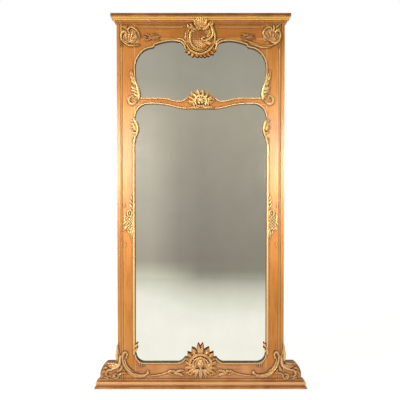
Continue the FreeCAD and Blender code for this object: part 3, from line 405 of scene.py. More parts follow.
# Each kind of stroke gives how far a point is inside its outline and how high it stands there.
def bandStroke(x, y, stroke):
    away, side, share, total = follow(x, y, along(stroke["path"], 36))
    wide = stations(stroke["wide"], share)
    high = stations(stroke["high"], share)
    kind, count = stroke["kind"], stroke["count"]
    if kind == "leaf":
        ahead = np.clip(share - 0.5 * away / total, 0, 1)  # the lobes lean forward
        wave = np.abs(np.sin(math.pi * count * ahead)) ** 0.7
        wide = wide * (1 - relief["lobeCut"] + relief["lobeCut"] * wave)
    across = np.clip(away / wide, 0, 1)
    if kind == "scroll":  # hollow between two raised rims
        rise = 0.52 + 0.48 * np.exp(-((across - relief["scrollRim"]) / 0.2) ** 2)
        rise = rise * np.sqrt(np.clip(1 - across ** 6, 0, 1))
    elif kind == "leaf":  # crowned, with a vein along its middle
        rise = 0.35 + 0.65 * np.cos(across * math.pi / 2)
        rise = rise * (0.80 + 0.20 * wave) - 0.3 * np.exp(-(away / (0.14 * wide + 0.3)) ** 2)
    elif kind == "roped":
        rise = np.sqrt(np.clip(1 - across ** 2, 0, 1))
        rise = rise * (0.74 + 0.26 * np.cos(2 * math.pi * (count * share + 0.22 * side * across)))
    else:
        rise = np.sqrt(np.clip(1 - across ** 2.4, 0, 1))
    body = np.minimum(high, relief["round"] * wide)  # the rest of the height is an upright wall
    return wide - away, high - body + body * rise


def buttonStroke(x, y, stroke):
    turn = math.radians(stroke["turn"])
    dx, dy = x - stroke["path"][0][0], y - stroke["path"][0][1]
    across = (dx * math.cos(turn) + dy * math.sin(turn)) / stroke["wide"]
    up = (-dx * math.sin(turn) + dy * math.cos(turn)) / stroke["tall"]
    out = np.hypot(across, up)
    rise = np.sqrt(np.clip(1 - out ** 2.2, 0, 1))
    if stroke["petals"]:
        wave = np.abs(np.cos(stroke["petals"] / 2 * np.arctan2(up, across)))
        out = out / (1 - relief["petalCut"] + relief["petalCut"] * wave)
        rise = np.sqrt(np.clip(1 - out ** 2.2, 0, 1)) * (0.7 + 0.3 * wave) + 0.35 * np.exp(-(out / 0.24) ** 2)
    least = min(stroke["wide"], stroke["tall"])
    body = min(stroke["high"], relief["round"] * least)
    return (1 - out) * least, stroke["high"] - body + body * rise


def shellStroke(x, y, stroke):
    at = np.array(stroke["at"], float)
    rim = np.array(stroke["path"], float) - at
    angles = np.unwrap(np.arctan2(rim[:, 1], rim[:, 0]))
    if angles[-1] < angles[0]:
        rim, angles = rim[::-1], angles[::-1]
    ridges = np.arange(len(rim)) % 2
    angle = np.arctan2(y - at[1], x - at[0])
    middle = (angles[0] + angles[-1]) / 2
    angle = middle + (angle - middle + math.pi) % (2 * math.pi) - math.pi
    reach = np.interp(angle, angles, np.hypot(rim[:, 0], rim[:, 1]))
    out = np.hypot(x - at[0], y - at[1])
    rib = 0.5 - 0.5 * np.cos(np.interp(angle, angles, ridges) * math.pi)
    share = np.clip(out / reach, 0, 1)
    rise = stations(stroke["high"], share) * (1 - stroke["cut"] * (1 - rib) * np.clip(share * 1.6, 0, 1))
    return np.where((angle >= angles[0]) & (angle <= angles[-1]), reach - out, -5), rise


# open diagonal bars with a bead on each crossing, inside a thin rim
def latticeStroke(x, y, stroke):
    (x0, y0), (x1, y1) = stroke["path"]
    pitch, bar = stroke["pitch"], stroke["bar"]
    inside = np.minimum(np.minimum(x - x0, x1 - x), np.minimum(y - y0, y1 - y))
    one, two = (x + y) / pitch, (x - y) / pitch
    toBar = np.minimum(np.abs(one - np.round(one)), np.abs(two - np.round(two))) * pitch / math.sqrt(2)
    toKnot = np.hypot(one - np.round(one), two - np.round(two)) * pitch / math.sqrt(2)
    near = np.maximum(bar - toBar, bar * 1.8 - toKnot)
    rise = stroke["high"] * (0.75 + 0.25 * np.clip(near / bar, 0, 1.6))
    near = np.where(inside < bar * relief["lipWide"], bar, near)
    return np.minimum(inside, near), rise


def strokeBounds(stroke):
    reach = max(np.atleast_1d(stroke.get("wide", 0)).max(), stroke.get("tall", 0)) * 1.3 + 3
    points = np.array(stroke["path"], float)
    return points.min(axis=0) - reach, points.max(axis=0) + reach


def deselect():
    bpy.ops.object.select_all(action="DESELECT")


def meshPlaces(mesh):
    places = np.empty(len(mesh.vertices) * 3)
    mesh.vertices.foreach_get("co", places)
    return places.reshape(-1, 3)


# the relief lies flat here: x across, y up, z out
def carve(name, strokes):
    step = relief["step"]
    bounds = [strokeBounds(stroke) for stroke in strokes]
    low = np.min([b[0] for b in bounds], axis=0)
    high = np.max([b[1] for b in bounds], axis=0)
    columns, rows = (int(math.ceil(v / step)) for v in high - low)
    deselect()
    bpy.ops.mesh.primitive_grid_add(x_subdivisions=columns, y_subdivisions=rows, size=1)
    piece = bpy.context.object
    piece.name = name
    mesh = piece.data
    places = meshPlaces(mesh)
    x = low[0] + (places[:, 0] + 0.5) * columns * step
    y = low[1] + (places[:, 1] + 0.5) * rows * step
    inside = np.full(len(x), -1e3)
    rise = np.zeros(len(x))
    kinds = {"button": buttonStroke, "shell": shellStroke, "lattice": latticeStroke}
    for stroke, (corner, far) in zip(strokes, bounds):
        near = np.flatnonzero((x > corner[0]) & (x < far[0]) & (y > corner[1]) & (y < far[1]))
        within, height = kinds.get(stroke["kind"], bandStroke)(x[near], y[near], stroke)
        if stroke.get("sink"):  # a hollow pressed into what is there
            rise[near] -= stroke["sink"] * np.clip(within / min(stroke["wide"], stroke["tall"]), 0, 1) ** 0.6
            continue
        height = np.maximum(height, relief["edge"])
        rise[near] = np.where(within > -0.6 * step, np.maximum(rise[near], height), rise[near])
        inside[near] = np.maximum(inside[near], within)
    marks = np.sin(x / 1.9 + 1.3 * np.sin(y / 4.1)) + np.sin(y / 2.3 + 1.1 * np.sin(x / 5.3))
    rise += relief["tool"] * marks
    corners = np.empty(len(mesh.polygons) * 4, int)
    mesh.polygons.foreach_get("vertices", corners)
    corners = corners.reshape(-1, 4)
    cells = (inside[corners].min(axis=1) > 0).reshape(rows, columns)
    for turn in range(4):  # cells that touch only at a corner would pinch the wall, so one of them goes
        across = cells[:-1, :-1] & cells[1:, 1:] & ~cells[:-1, 1:] & ~cells[1:, :-1]
        cells[:-1, :-1] &= ~across
        across = cells[:-1, 1:] & cells[1:, :-1] & ~cells[:-1, :-1] & ~cells[1:, 1:]
        cells[:-1, 1:] &= ~across
    kept = cells.ravel()
    used = np.bincount(corners[kept].ravel(), minlength=len(x))
    rim = (used > 0) & (used < 4)
    # the rim's points slide out to the outline itself
    slopeY, slopeX = np.gradient(np.maximum(inside.reshape(rows + 1, columns + 1), -2 * step), step)
    steep = np.hypot(slopeX, slopeY).ravel() + 1e-6
    slide = np.clip(inside / steep, 0, 0.6 * step)
    x = np.where(rim, x - slopeX.ravel() / steep * slide, x)
    y = np.where(rim, y - slopeY.ravel() / steep * slide, y)
    mesh.vertices.foreach_set("co", np.stack([x, y, np.maximum(rise, relief["edge"] * 0.6)], axis=1).ravel())
    for parts in (mesh.vertices, mesh.edges):
        parts.foreach_set("select", np.zeros(len(parts), bool))
    mesh.polygons.foreach_set("select", ~kept)
    bpy.ops.object.mode_set(mode="EDIT")
    bpy.ops.mesh.select_mode(type="FACE")
    bpy.ops.mesh.delete(type="FACE")
    bpy.ops.mesh.select_mode(type="VERT")
    bpy.ops.mesh.select_all(action="SELECT")
    bpy.ops.mesh.delete_loose(use_verts=True, use_edges=True, use_faces=False)
    # walls down to the board, and a floor that closes them
    bpy.ops.mesh.select_mode(type="EDGE")
    bpy.ops.mesh.select_all(action="DESELECT")
    bpy.ops.mesh.select_non_manifold(extend=False, use_wire=False, use_boundary=True, use_multi_face=False,
                                     use_non_contiguous=False, use_verts=False)
    bpy.ops.mesh.extrude_edges_move(TRANSFORM_OT_translate={"value": (0, 0, -1)})
    bpy.ops.object.mode_set(mode="OBJECT")
    places = meshPlaces(mesh)
    chosen = np.zeros(len(places), bool)
    mesh.vertices.foreach_get("select", chosen)
    places[chosen, 2] = -relief["seat"]
    mesh.vertices.foreach_set("co", places.ravel())
    bpy.ops.object.mode_set(mode="EDIT")
    bpy.ops.mesh.fill(use_beauty=False)
    bpy.ops.mesh.select_all(action="SELECT")
    bpy.ops.mesh.normals_make_consistent(inside=False)
    bpy.ops.object.mode_set(mode="OBJECT")
    return piece


# stands a flat relief up on the boards, its middle at the given millimetres
def plant(piece, middle, material, node=None, side=1):
    x, z = middle[0] * mm * side, middle[1] * mm
    piece.data.transform(Matrix(((mm * side, 0, 0, x), (0, 0, -mm, frontY), (0, mm, 0, z), (0, 0, 0, 1))))
    if side < 0:
        piece.data.flip_normals()
    deselect()
    piece.select_set(True)
    bpy.context.view_layer.objects.active = piece
    bpy.ops.object.shade_smooth_by_angle(angle=math.radians(50))
    piece.data.materials.clear()
    piece.data.materials.append(material)
    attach(piece, "root")
    if node:
        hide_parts(node)


def ownCopy(piece):
    deselect()
    piece.select_set(True)
    bpy.context.view_layer.objects.active = piece
    bpy.ops.object.duplicate(linked=False)
    return bpy.context.object


def ornament(name, design, material, node=None):
    plant(carve(name, design["strokes"]), design["middle"], material, node)


def ornamentPair(name, design, material, node=None):
    flat = carve(name + "_left", design["strokes"])
    other = ownCopy(flat)
    other.name = name + "_right"
    for hand, piece, side in (("left", flat, 1), ("right", other, -1)):
        plant(piece, design["middle"], material, node and f"{node}_{hand}", side=side)


# Head: a shell and acanthus cartouche on a carved ground, with a flowered corner piece on each side.
crestField = {"middle": (-8, 2234), "strokes": [
    button(3.5, -3, 80.5, 85.5, 6),
]}
ornament("crest_field", crestField, carvedGround)
crest = {"middle": (-8, 2234), "strokes": [
    shell(3.5, 0.5, 0.5, [3, 4, 6, 8, 11, 7], [(-86, -31), (-98.5, -56), (-87.5, -65.5), (-94, -81.5),
        (-75.5, -85), (-71, -101.5), (-54, -97.5), (-46, -116.5), (-28, -106.5), (-14, -119),
        (-1.5, -110.5), (10, -120.5), (21, -110.5), (35, -119), (47, -108), (63, -112), (70.5, -97.5),
        (91, -101.5), (94.5, -85), (111, -74), (102, -59.5), (107, -37.5), (97, -18.5)]),
    scroll([(-38, 85.5), (-59.5, 74.5), (-73.5, 50.5), (-79.5, 19), (-78.5, -12.5), (-70, -43.5),
        (-53.5, -67.5), (-28, -84), (3.5, -89.5), (35, -82.5), (63.5, -64), (82, -38.5), (92, -12.5)], [9.5,
        12.5, 14, 16, 18, 18, 16.5, 14], [12, 14, 15, 17, 18, 17, 14]),
    ridge([(-37, 40.5), (-45, 45), (-56, 34), (-59.5, 13), (-59, -12.5), (-52, -36), (-38, -53.5),
        (-15.5, -67.5), (10, -71.5), (35, -66.5)], [4.5, 7, 5.5, 6.5, 7, 7.5, 7, 5.5, 3], [16, 19, 16, 16,
        17, 19, 18, 15, 10]),
    leaf([(38.5, 88), (58, 75.5), (68.5, 53.5), (66.5, 28.5), (54, 6.5)], [6.5, 14.5, 16.5, 14, 7.5], [10,
        13, 13, 10], 5),
    ridge([(41.5, 105.5), (59, 92), (75.5, 72), (85, 49.5), (85, 26.5), (75.5, 8), (59, -5.5), (41.5, -14),
        (27.5, -16), (18.5, -10), (20.5, 3), (31.5, 6)], [5, 6.5, 7.5, 8.5, 8.5, 7.5, 7.5, 7.5, 6.5, 5, 4.5,
        4.5], [18, 18, 18, 19, 19, 18, 18, 18, 18, 17]),
    ridge([(25.5, -23.5), (48, -25), (67, -35), (78, -51)], [9, 16.5, 18, 10], [9, 13, 14, 9]),
    leaf([(-21.5, 50.5), (-38, 63), (-49.5, 75.5), (-58.5, 90.5)], [7.5, 11.5, 10, 3], [15, 19, 22, 21], 3),
    leaf([(-3, 53), (-16.5, 75.5), (-27, 95.5), (-32, 113)], [7, 11, 10, 3], [16, 22, 29, 30], 3),
    leaf([(3.5, 57), (-0.5, 82), (-4, 104), (-6.5, 126)], [7.5, 11.5, 12, 4.5], [18, 26, 33, 33], 4),
    leaf([(8.5, 57), (13.5, 82), (20, 102), (22.5, 122)], [7.5, 11.5, 11.5, 4.5], [18, 26, 33, 33], 4),
    leaf([(15, 57), (30, 78), (40, 98), (46.5, 118)], [7, 11, 11, 3], [16, 24, 31, 32], 3),
    leaf([(22.5, 53), (42.5, 68), (58, 84.5), (72, 99.5)], [6.5, 10, 9, 3], [15, 20, 24, 25], 3),
    ridge([(-77.5, -43.5), (-65, -66.5), (-43.5, -84), (-15.5, -95), (13.5, -97.5), (42.5, -87.5),
        (68, -69), (88.5, -45)], [3, 5, 5, 4.5, 4.5, 5, 5.5, 4], [21, 24, 24, 23, 24, 24, 21]),
    ridge([(-70.5, -37.5), (-56, -59), (-34.5, -74.5), (-6.5, -82.5), (22.5, -82), (49, -70)], [2.5, 3, 3,
        3, 3, 2], [19, 21, 21, 21, 19]),
    ridge([(-85.5, -28.5), (-88.5, 0.5), (-85.5, 29), (-76, 55.5)], [4, 5, 5, 2.5], [12, 14, 14, 10]),
    ridge([(97, -31), (98.5, -2), (96, 31.5), (85.5, 64.5), (68, 90.5)], [4.5, 5.5, 5.5, 5, 2.5], [12, 15,
        16, 15, 12]),
    leaf([(-57, 64.5), (-68.5, 72), (-75, 85.5)], [6.5, 7.5, 2.5], [15, 17, 14], 3),
    leaf([(75.5, 78), (83, 92), (80.5, 104.5)], [5.5, 7.5, 2.5], [16, 20, 18], 3),
    leaf([(-11.5, 92), (-18, 110.5), (-16.5, 127)], [5, 6.5, 2.5], [26, 32, 32], 3),
    leaf([(34, 90.5), (36.5, 109.5), (32.5, 128.5)], [5, 6.5, 2.5], [26, 32, 32], 3),
    leaf([(10, 88), (8.5, 113), (8, 133.5)], [5, 7, 2.5], [30, 36, 34], 3),
    button(-25.5, 82, 7, 7, 28, petals=5),
    button(41.5, 80.5, 7, 7, 28, petals=5),
    button(-43, 64.5, 6.5, 6.5, 23, petals=5),
    button(56.5, 65.5, 6.5, 6.5, 24, petals=5),
    button(6, 62, 12, 12, 26, petals=5),
    button(-11.5, 74.5, 8.5, 8.5, 26, petals=5),
    button(24, 73, 8.5, 8.5, 26, petals=5),
]}
ornament("crest_carving", crest, giltTop, "crest_cartouche")
cornerLeftField = {"middle": (-441, 2234), "strokes": [
    shell(-12.5, -45, 0.45, [2, 4, 6, 5, 2.5], [(-59, -18.5), (-60, 6.5), (-51.5, 13), (-47, 34), (-34, 29),
        (-21, 54.5), (-8.5, 44), (9.5, 64.5), (17, 46.5), (38.5, 46.5), (39.5, 30.5), (55, 13), (47, -2),
        (57, -28.5)]),
]}
ornament("corner_field_left", cornerLeftField, carvedGround)
cornerLeft = {"middle": (-441, 2234), "strokes": [
    ridge([(-25.5, 23), (-30, 34), (-41, 42.5), (-54, 38), (-61, 23), (-62, 5.5), (-58.5, -10),
        (-46.5, -23.5), (-30, -36), (-11, -44.5), (13, -47.5), (38, -46), (60.5, -42.5)], [5.5, 8.5, 8.5,
        6.5, 5, 5, 5.5, 6.5, 5.5, 5, 4.5, 2], [13, 15, 14, 13, 13, 14, 14, 12, 10, 6]),
    ridge([(-8.5, 31.5), (-17, 41.5), (-17.5, 55.5), (-8, 66), (7, 68.5), (22, 60.5), (37, 46.5),
        (48.5, 31.5), (53.5, 13), (55, -7)], [6.5, 5.5, 5.5, 5.5, 5.5, 6.5, 5.5, 5, 4, 2], [12, 14, 14, 14,
        15, 14, 12, 9, 5]),
    ridge([(-2, 49.5), (10.5, 52), (24.5, 41.5), (33.5, 25.5)], [2.5, 4.5, 5, 2.5], [9, 11, 11, 8]),
    leaf([(6.5, 3), (23, 3), (34.5, 10.5), (38.5, 20.5)], [3, 8.5, 9.5, 3], [9, 14, 15, 10], 2),
    ridge([(-34, -16), (-26, -27.5), (-13.5, -28.5), (-2, -25)], [4, 5, 4.5, 2], [10, 12, 11, 8]),
    leaf([(-24.5, 48), (-35, 63), (-50, 72), (-62.5, 72)], [4.5, 10, 9.5, 3], [11, 13, 12, 9], 3),
    leaf([(-27, 59.5), (-28.5, 75.5), (-21, 83)], [4, 6.5, 2.5], [10, 11, 9], 2),
    lattice((-71, -55, -50, -15), 12, 1.5, 5),
]}
ornament("corner_carving_left", cornerLeft, giltTop, "corner_cartouche_left")
cornerRightField = {"middle": (451, 2247), "strokes": [
    shell(3.5, -40.5, 0.45, [2, 4, 6, 5, 2.5], [(-53.5, -28), (-58.5, -2.5), (-48.5, 8.5), (-50, 33.5),
        (-36, 35), (-24.5, 55), (-10.5, 40), (5.5, 46.5), (16, 31), (33.5, 32.5), (38.5, 17.5), (51.5, 3.5),
        (44, -12.5), (47.5, -29)]),
]}
ornament("corner_field_right", cornerRightField, carvedGround)
cornerRight = {"middle": (451, 2247), "strokes": [
    ridge([(21, 18.5), (25, 30), (37.5, 35.5), (49, 27.5), (54, 11), (54, -6.5), (46.5, -24), (32.5, -38),
        (15, -41.5), (-0.5, -38), (-9, -28), (-13, -21.5)], [5.5, 7, 6.5, 5.5, 5.5, 5.5, 7, 8.5, 8.5, 6.5,
        5, 2.5], [14, 16, 14, 13, 14, 15, 16, 16, 12]),
    ridge([(-2, 30), (-1, 44), (-10.5, 54.5), (-26, 55.5), (-41, 45.5), (-51.5, 30), (-55.5, 12.5),
        (-48.5, -2.5), (-36, -11.5), (-23, -12)], [4.5, 5.5, 5.5, 5, 5.5, 5.5, 5.5, 6.5, 6.5, 2.5], [11, 14,
        14, 13, 14, 14, 14, 13, 9]),
    leaf([(7, 22.5), (11, 37.5), (14.5, 54), (9.5, 69)], [5, 7.5, 6.5, 2.5], [14, 17, 16, 12], 3),
    leaf([(25, 27.5), (35, 39), (46, 45), (53.5, 55)], [5, 7.5, 6.5, 2.5], [14, 18, 16, 11], 3),
    leaf([(24.5, 40), (29.5, 55), (43.5, 67.5), (52.5, 76.5)], [3, 6.5, 5, 2], [10, 13, 13, 11], 3),
    button(8.5, 32.5, 6.5, 6.5, 17),
    ridge([(29, -46.5), (0, -56), (-28, -60.5), (-63.5, -58), (-95, -51.5), (-126.5, -41.5),
        (-158.5, -30.5), (-183.5, -23)], [4.5, 4.5, 4, 4, 4.5, 4.5, 4.5, 2.5], [13, 11, 10, 10, 11, 11, 9]),
    ridge([(2.5, -63), (-25.5, -70), (-59.5, -70.5), (-88.5, -63), (-120.5, -53), (-145.5, -44)], [2.5, 5,
        6.5, 5.5, 4.5, 2.5], [8, 12, 13, 12, 9]),
    leaf([(45, -38), (46.5, -56.5), (44, -75.5)], [3, 5.5, 2], [8, 8, 4], 3),
]}
ornament("corner_carving_right", cornerRight, giltTop, "corner_cartouche_right")
# Frieze: low sprays of leaves in the wood itself.
friezeSprayLeft = {"middle": (-311, 2241), "strokes": [
    button(-31, -0.5, 12.5, 12.5, 10, petals=5),
    leaf([(-3, 1), (-13.5, 7), (-24.5, 14.5), (-41, 17)], [5, 7.5, 6.5, 2], [8, 9, 8, 5], 3),
    leaf([(-4.5, -8), (-14.5, -13), (-28.5, -18.5), (-43.5, -18)], [5, 7.5, 6.5, 2], [8, 9, 8, 5], 3),
    leaf([(-35, -0.5), (-47.5, 2), (-59, -1.5)], [7.5, 8.5, 2.5], [9, 8, 5], 3),
    leaf([(-16, -3), (-0.5, -4), (13.5, -10.5), (22, -19.5)], [5, 10, 9, 2], [9, 11, 9, 5], 3),
    leaf([(-9.5, 3.5), (5.5, 12), (22, 16.5), (41, 13.5)], [5, 7.5, 7.5, 2], [8, 9, 8, 5], 4),
    leaf([(3, -0.5), (22, 0), (40, -6.5), (53.5, -19.5)], [5, 12, 11, 2.5], [9, 11, 9, 5], 3),
    leaf([(22, 2), (38.5, 6), (50, 3.5), (57.5, -5.5)], [4, 7, 5.5, 2], [9, 10, 8, 5], 2),
]}
ornament("frieze_carving_left", friezeSprayLeft, carvedWood, "frieze_spray_left")
friezeSprayRight = {"middle": (299, 2241), "strokes": [
    button(-34, 2, 12, 12, 10, petals=5),
    leaf([(-12.5, 8.5), (-28, 18.5), (-44.5, 17)], [5, 8.5, 2], [8, 9, 5], 3),
    leaf([(-19, -4), (-29, -9), (-42, -8)], [5, 6.5, 2], [8, 8, 5], 2),
    leaf([(-28, 3.5), (-13, 13), (3.5, 13.5), (12.5, 8.5)], [5, 7.5, 7.5, 2.5], [9, 11, 11, 6], 3),
    leaf([(-16.5, -4), (0, -6.5), (15, -13), (25, -19.5)], [4.5, 9, 7, 2], [8, 9, 8, 5], 3),
    leaf([(-6.5, 1), (12.5, 2), (31.5, -3), (50.5, -10.5)], [4.5, 9.5, 10, 2.5], [8, 10, 9, 5], 4),
    leaf([(12.5, 7), (27.5, 13.5), (44, 13)], [4, 6.5, 2], [7, 8, 5], 3),
]}
ornament("frieze_carving_right", friezeSprayRight, carvedWood, "frieze_spray_right")
# Sides: garlands and scrolls on the sight edge, and trellis panels on the uprights.
garland = {"middle": (-423, 1920), "strokes": [
    ridge([(-14.5, 110.5), (-8, 84.5), (0.5, 59), (12.5, 31), (22, 3.5), (28.5, -25.5), (30.5, -51),
        (28, -72.5)], [2, 4, 5, 6.5, 8.5, 9.5, 9.5, 5], [5, 9, 11, 13, 15, 16, 16, 11]),
    leaf([(-12.5, 78), (-19, 91.5), (-19.5, 105.5), (-13, 117)], [4, 5.5, 4.5, 2], [7, 9, 8, 5], 2),
    leaf([(-2, 46.5), (-11, 59), (-17, 73), (-21, 88)], [4.5, 7.5, 6.5, 2], [9, 13, 11, 6], 3),
    leaf([(10.5, 17.5), (2, 30), (-8.5, 41.5), (-17, 51.5)], [5, 9.5, 7.5, 2], [11, 15, 12, 7], 3),
    leaf([(19, -10.5), (7, -3), (-7, 1), (-17, 9.5)], [5, 9, 8.5, 2.5], [13, 16, 16, 9], 3),
    leaf([(25.5, -33), (14.5, -25.5), (0.5, -18), (-16, -14)], [5, 8.5, 7.5, 2], [14, 17, 15, 8], 3),
    leaf([(29.5, -61), (20.5, -51), (8, -42), (-6, -37)], [5, 7.5, 6.5, 2], [14, 16, 12, 6], 3),
    scroll([(-1, -56), (-10, -50), (-24, -56), (-33.5, -68.5), (-34.5, -83.5), (-26.5, -97),
        (-12.5, -101.5), (1.5, -96.5), (11.5, -86), (23, -78.5)], [5, 6.5, 7, 7.5, 8.5, 9.5, 9.5, 8.5, 6.5,
        2.5], [9, 12, 13, 15, 16, 17, 16, 13, 8]),
    button(-6.5, -61, 5.5, 5.5, 13),
]}
ornamentPair("garland_carving", garland, gilt, "upper_garland")
middleShell = {"middle": (-1, 1844), "strokes": [
    shell(-0.5, -12.5, 0.55, [12, 13, 13, 12, 9, 5], [(-67, -29), (-82, -6.5), (-73, 7.5), (-86.5, 29.5),
        (-63, 29.5), (-58, 54), (-32.5, 44), (-18, 70.5), (-1, 46.5), (17.5, 70.5), (31, 44), (53, 53.5),
        (61, 29.5), (84, 30), (72.5, 7.5), (80, -6.5), (65, -29)]),
    leaf([(-6, 19), (-10, 38), (-13.5, 58)], [5.5, 8.5, 2.5], [14, 17, 9], 3),
    leaf([(8, 19), (15.5, 38), (19.5, 58)], [5.5, 8.5, 2.5], [14, 17, 9], 3),
    leaf([(-22.5, 5), (-32.5, 25), (-49, 43)], [5, 8.5, 2.5], [13, 16, 8], 3),
    leaf([(24.5, 5), (38.5, 26.5), (51, 43)], [5, 8.5, 2.5], [13, 16, 8], 3),
    leaf([(-35, -10), (-53, 10), (-74.5, 22.5)], [5, 8.5, 2.5], [11, 13, 7], 3),
    leaf([(38.5, -11.5), (53.5, 9), (77.5, 22.5)], [5, 8.5, 2.5], [11, 13, 7], 3),
    ridge([(-27.5, -26.5), (-34, -9), (-30.5, 11.5), (-18.5, 24), (0.5, 29.5), (20.5, 24), (34, 10),
        (36.5, -9), (32, -26.5)], [5.5, 6.5, 5.5, 5.5, 5, 5.5, 5.5, 6.5, 5.5], [18, 18, 17, 17, 17, 18,
        18]),
    button(1, 2.5, 21, 20.5, 17),
    button(-8, -17, 7, 8.5, 21),
    button(9, -14, 7, 9, 21),
    button(-23, -34, 7, 7, 12),
    button(-9, -36.5, 7, 7, 13),
    button(5.5, -37.5, 7, 7, 13),
    button(19.5, -36, 7, 7, 13),
    button(33.5, -33, 7, 7, 12),
    leaf([(-12.5, -45.5), (-32.5, -46), (-53, -45), (-79.5, -50.5)], [4.5, 7.5, 6.5, 2], [10, 12, 9, 5], 3),
    leaf([(15.5, -45.5), (37, -45.5), (60, -43.5), (85.5, -48)], [4.5, 7.5, 6.5, 2], [10, 12, 10, 5], 3),
    scroll([(47.5, -34), (46, -16.5), (53.5, -1.5), (69, 7), (81.5, 3.5), (89, -5)], [5, 7, 5.5, 5, 4.5,
        2.5], [14, 15, 13, 12, 8]),
    scroll([(-41.5, -38), (-46.5, -21.5), (-56.5, -10), (-73, -5)], [5, 7, 5, 2.5], [13, 13, 10, 6]),
]}
ornament("middle_shell_carving", middleShell, gilt, "middle_shell")
sideScroll = {"middle": (-423, 1648), "strokes": [
    ridge([(-0.5, 78.5), (2.5, 67), (10, 58), (15.5, 43), (20.5, 26.5), (22.5, 10), (19.5, -5), (11, -12.5),
        (-1.5, -10), (-13, -5)], [3, 5.5, 9, 8.5, 7.5, 7, 6.5, 5.5, 5.5, 3], [10, 15, 18, 16, 15, 15, 15,
        15, 14, 9]),
    button(3.5, 21.5, 16.5, 29.5, 11, turn=12),
    leaf([(7.5, 59.5), (-8, 64.5), (-23, 63)], [5, 7, 2.5], [13, 12, 7], 3),
    leaf([(3.5, 47), (-9, 43), (-22, 34)], [5, 7, 2.5], [12, 12, 7], 3),
    leaf([(1, 25), (-10.5, 22.5), (-22, 14)], [4.5, 6.5, 2.5], [11, 10, 6], 2),
    ridge([(17.5, -15.5), (12.5, -28), (7, -43)], [7, 5.5, 2.5], [13, 11, 7]),
    leaf([(9.5, -28), (5, -45.5), (1.5, -63.5), (-3, -81)], [4.5, 7, 7.5, 3], [10, 12, 14, 12], 3),
    ridge([(-7.5, -37), (-10.5, -52), (-12, -67)], [2, 3, 2], [6, 7, 5]),
]}
ornamentPair("side_scroll_carving", sideScroll, gilt, "side_scroll")
trellis = {"middle": (-457, 1069), "strokes": [
    ridge([(28.5, 179), (30, 140.5), (28.5, 102.5), (24.5, 64.5), (22, 32.5)], [2.5, 4.5, 5, 4.5, 2.5], [4,
        6, 7, 6, 4]),
    leaf([(24.5, 143.5), (17, 149.5), (13.5, 162.5), (17, 174)], [3, 5, 4.5, 2], [6, 9, 8, 4], 2),
    leaf([(24.5, 119), (14.5, 125.5), (8, 138), (9.5, 149.5)], [3, 5.5, 5, 2], [6, 9, 8, 4], 2),
    leaf([(24.5, 95), (14.5, 100), (7, 111.5), (5.5, 124)], [3, 5.5, 5, 2], [6, 9, 8, 4], 2),
    scroll([(-8.5, 47.5), (-9, 65.5), (0.5, 75.5), (13, 73), (18, 59), (16, 44), (5.5, 36), (-7.5, 41.5)],
        [4, 4.5, 4.5, 4.5, 4.5, 4.5, 4], [9, 10, 10, 9]),
    button(4, 56, 8.5, 12.5, 7),
    lattice((-23.5, -50.5, 25, 35), 18.5, 2.5, 6.5),
    scroll([(-27.5, 121.5), (-32.5, 111.5), (-27.5, 100), (-21.5, 92.5)], [2.5, 4.5, 4, 2], [5, 7, 6, 4]),
    leaf([(-22.5, 58), (-28, 32.5), (-26.5, 7), (-20.5, -12.5)], [2, 5, 5, 2], [5, 8, 8, 5], 4),
    leaf([(-21.5, 0.5), (-32, -9.5), (-39.5, -22.5)], [3, 4.5, 2], [7, 8, 5], 2),
    leaf([(-20.5, -25), (-25.5, -40.5), (-23, -57)], [2.5, 5, 2], [6, 9, 5], 2),
    leaf([(19, 0.5), (24.5, -11), (30.5, -18.5)], [3, 5, 2], [7, 8, 5], 2),
    leaf([(16.5, -44), (23, -63.5), (26.5, -85), (28, -112)], [3, 7, 6.5, 2], [7, 10, 9, 5], 4),
    leaf([(10, -54.5), (12.5, -72.5), (14, -89), (10, -105.5)], [2.5, 4.5, 4.5, 2], [6, 8, 7, 4], 3),
    leaf([(-4, -54.5), (0, -68.5), (5, -85)], [3, 4.5, 2], [6, 7, 4], 2),
    scroll([(-28.5, -127.5), (-24.5, -137.5), (-27, -151.5), (-31, -164.5)], [2, 4, 4, 2], [4, 6, 6, 4]),
]}
ornamentPair("trellis_carving", trellis, giltLow, "trellis")
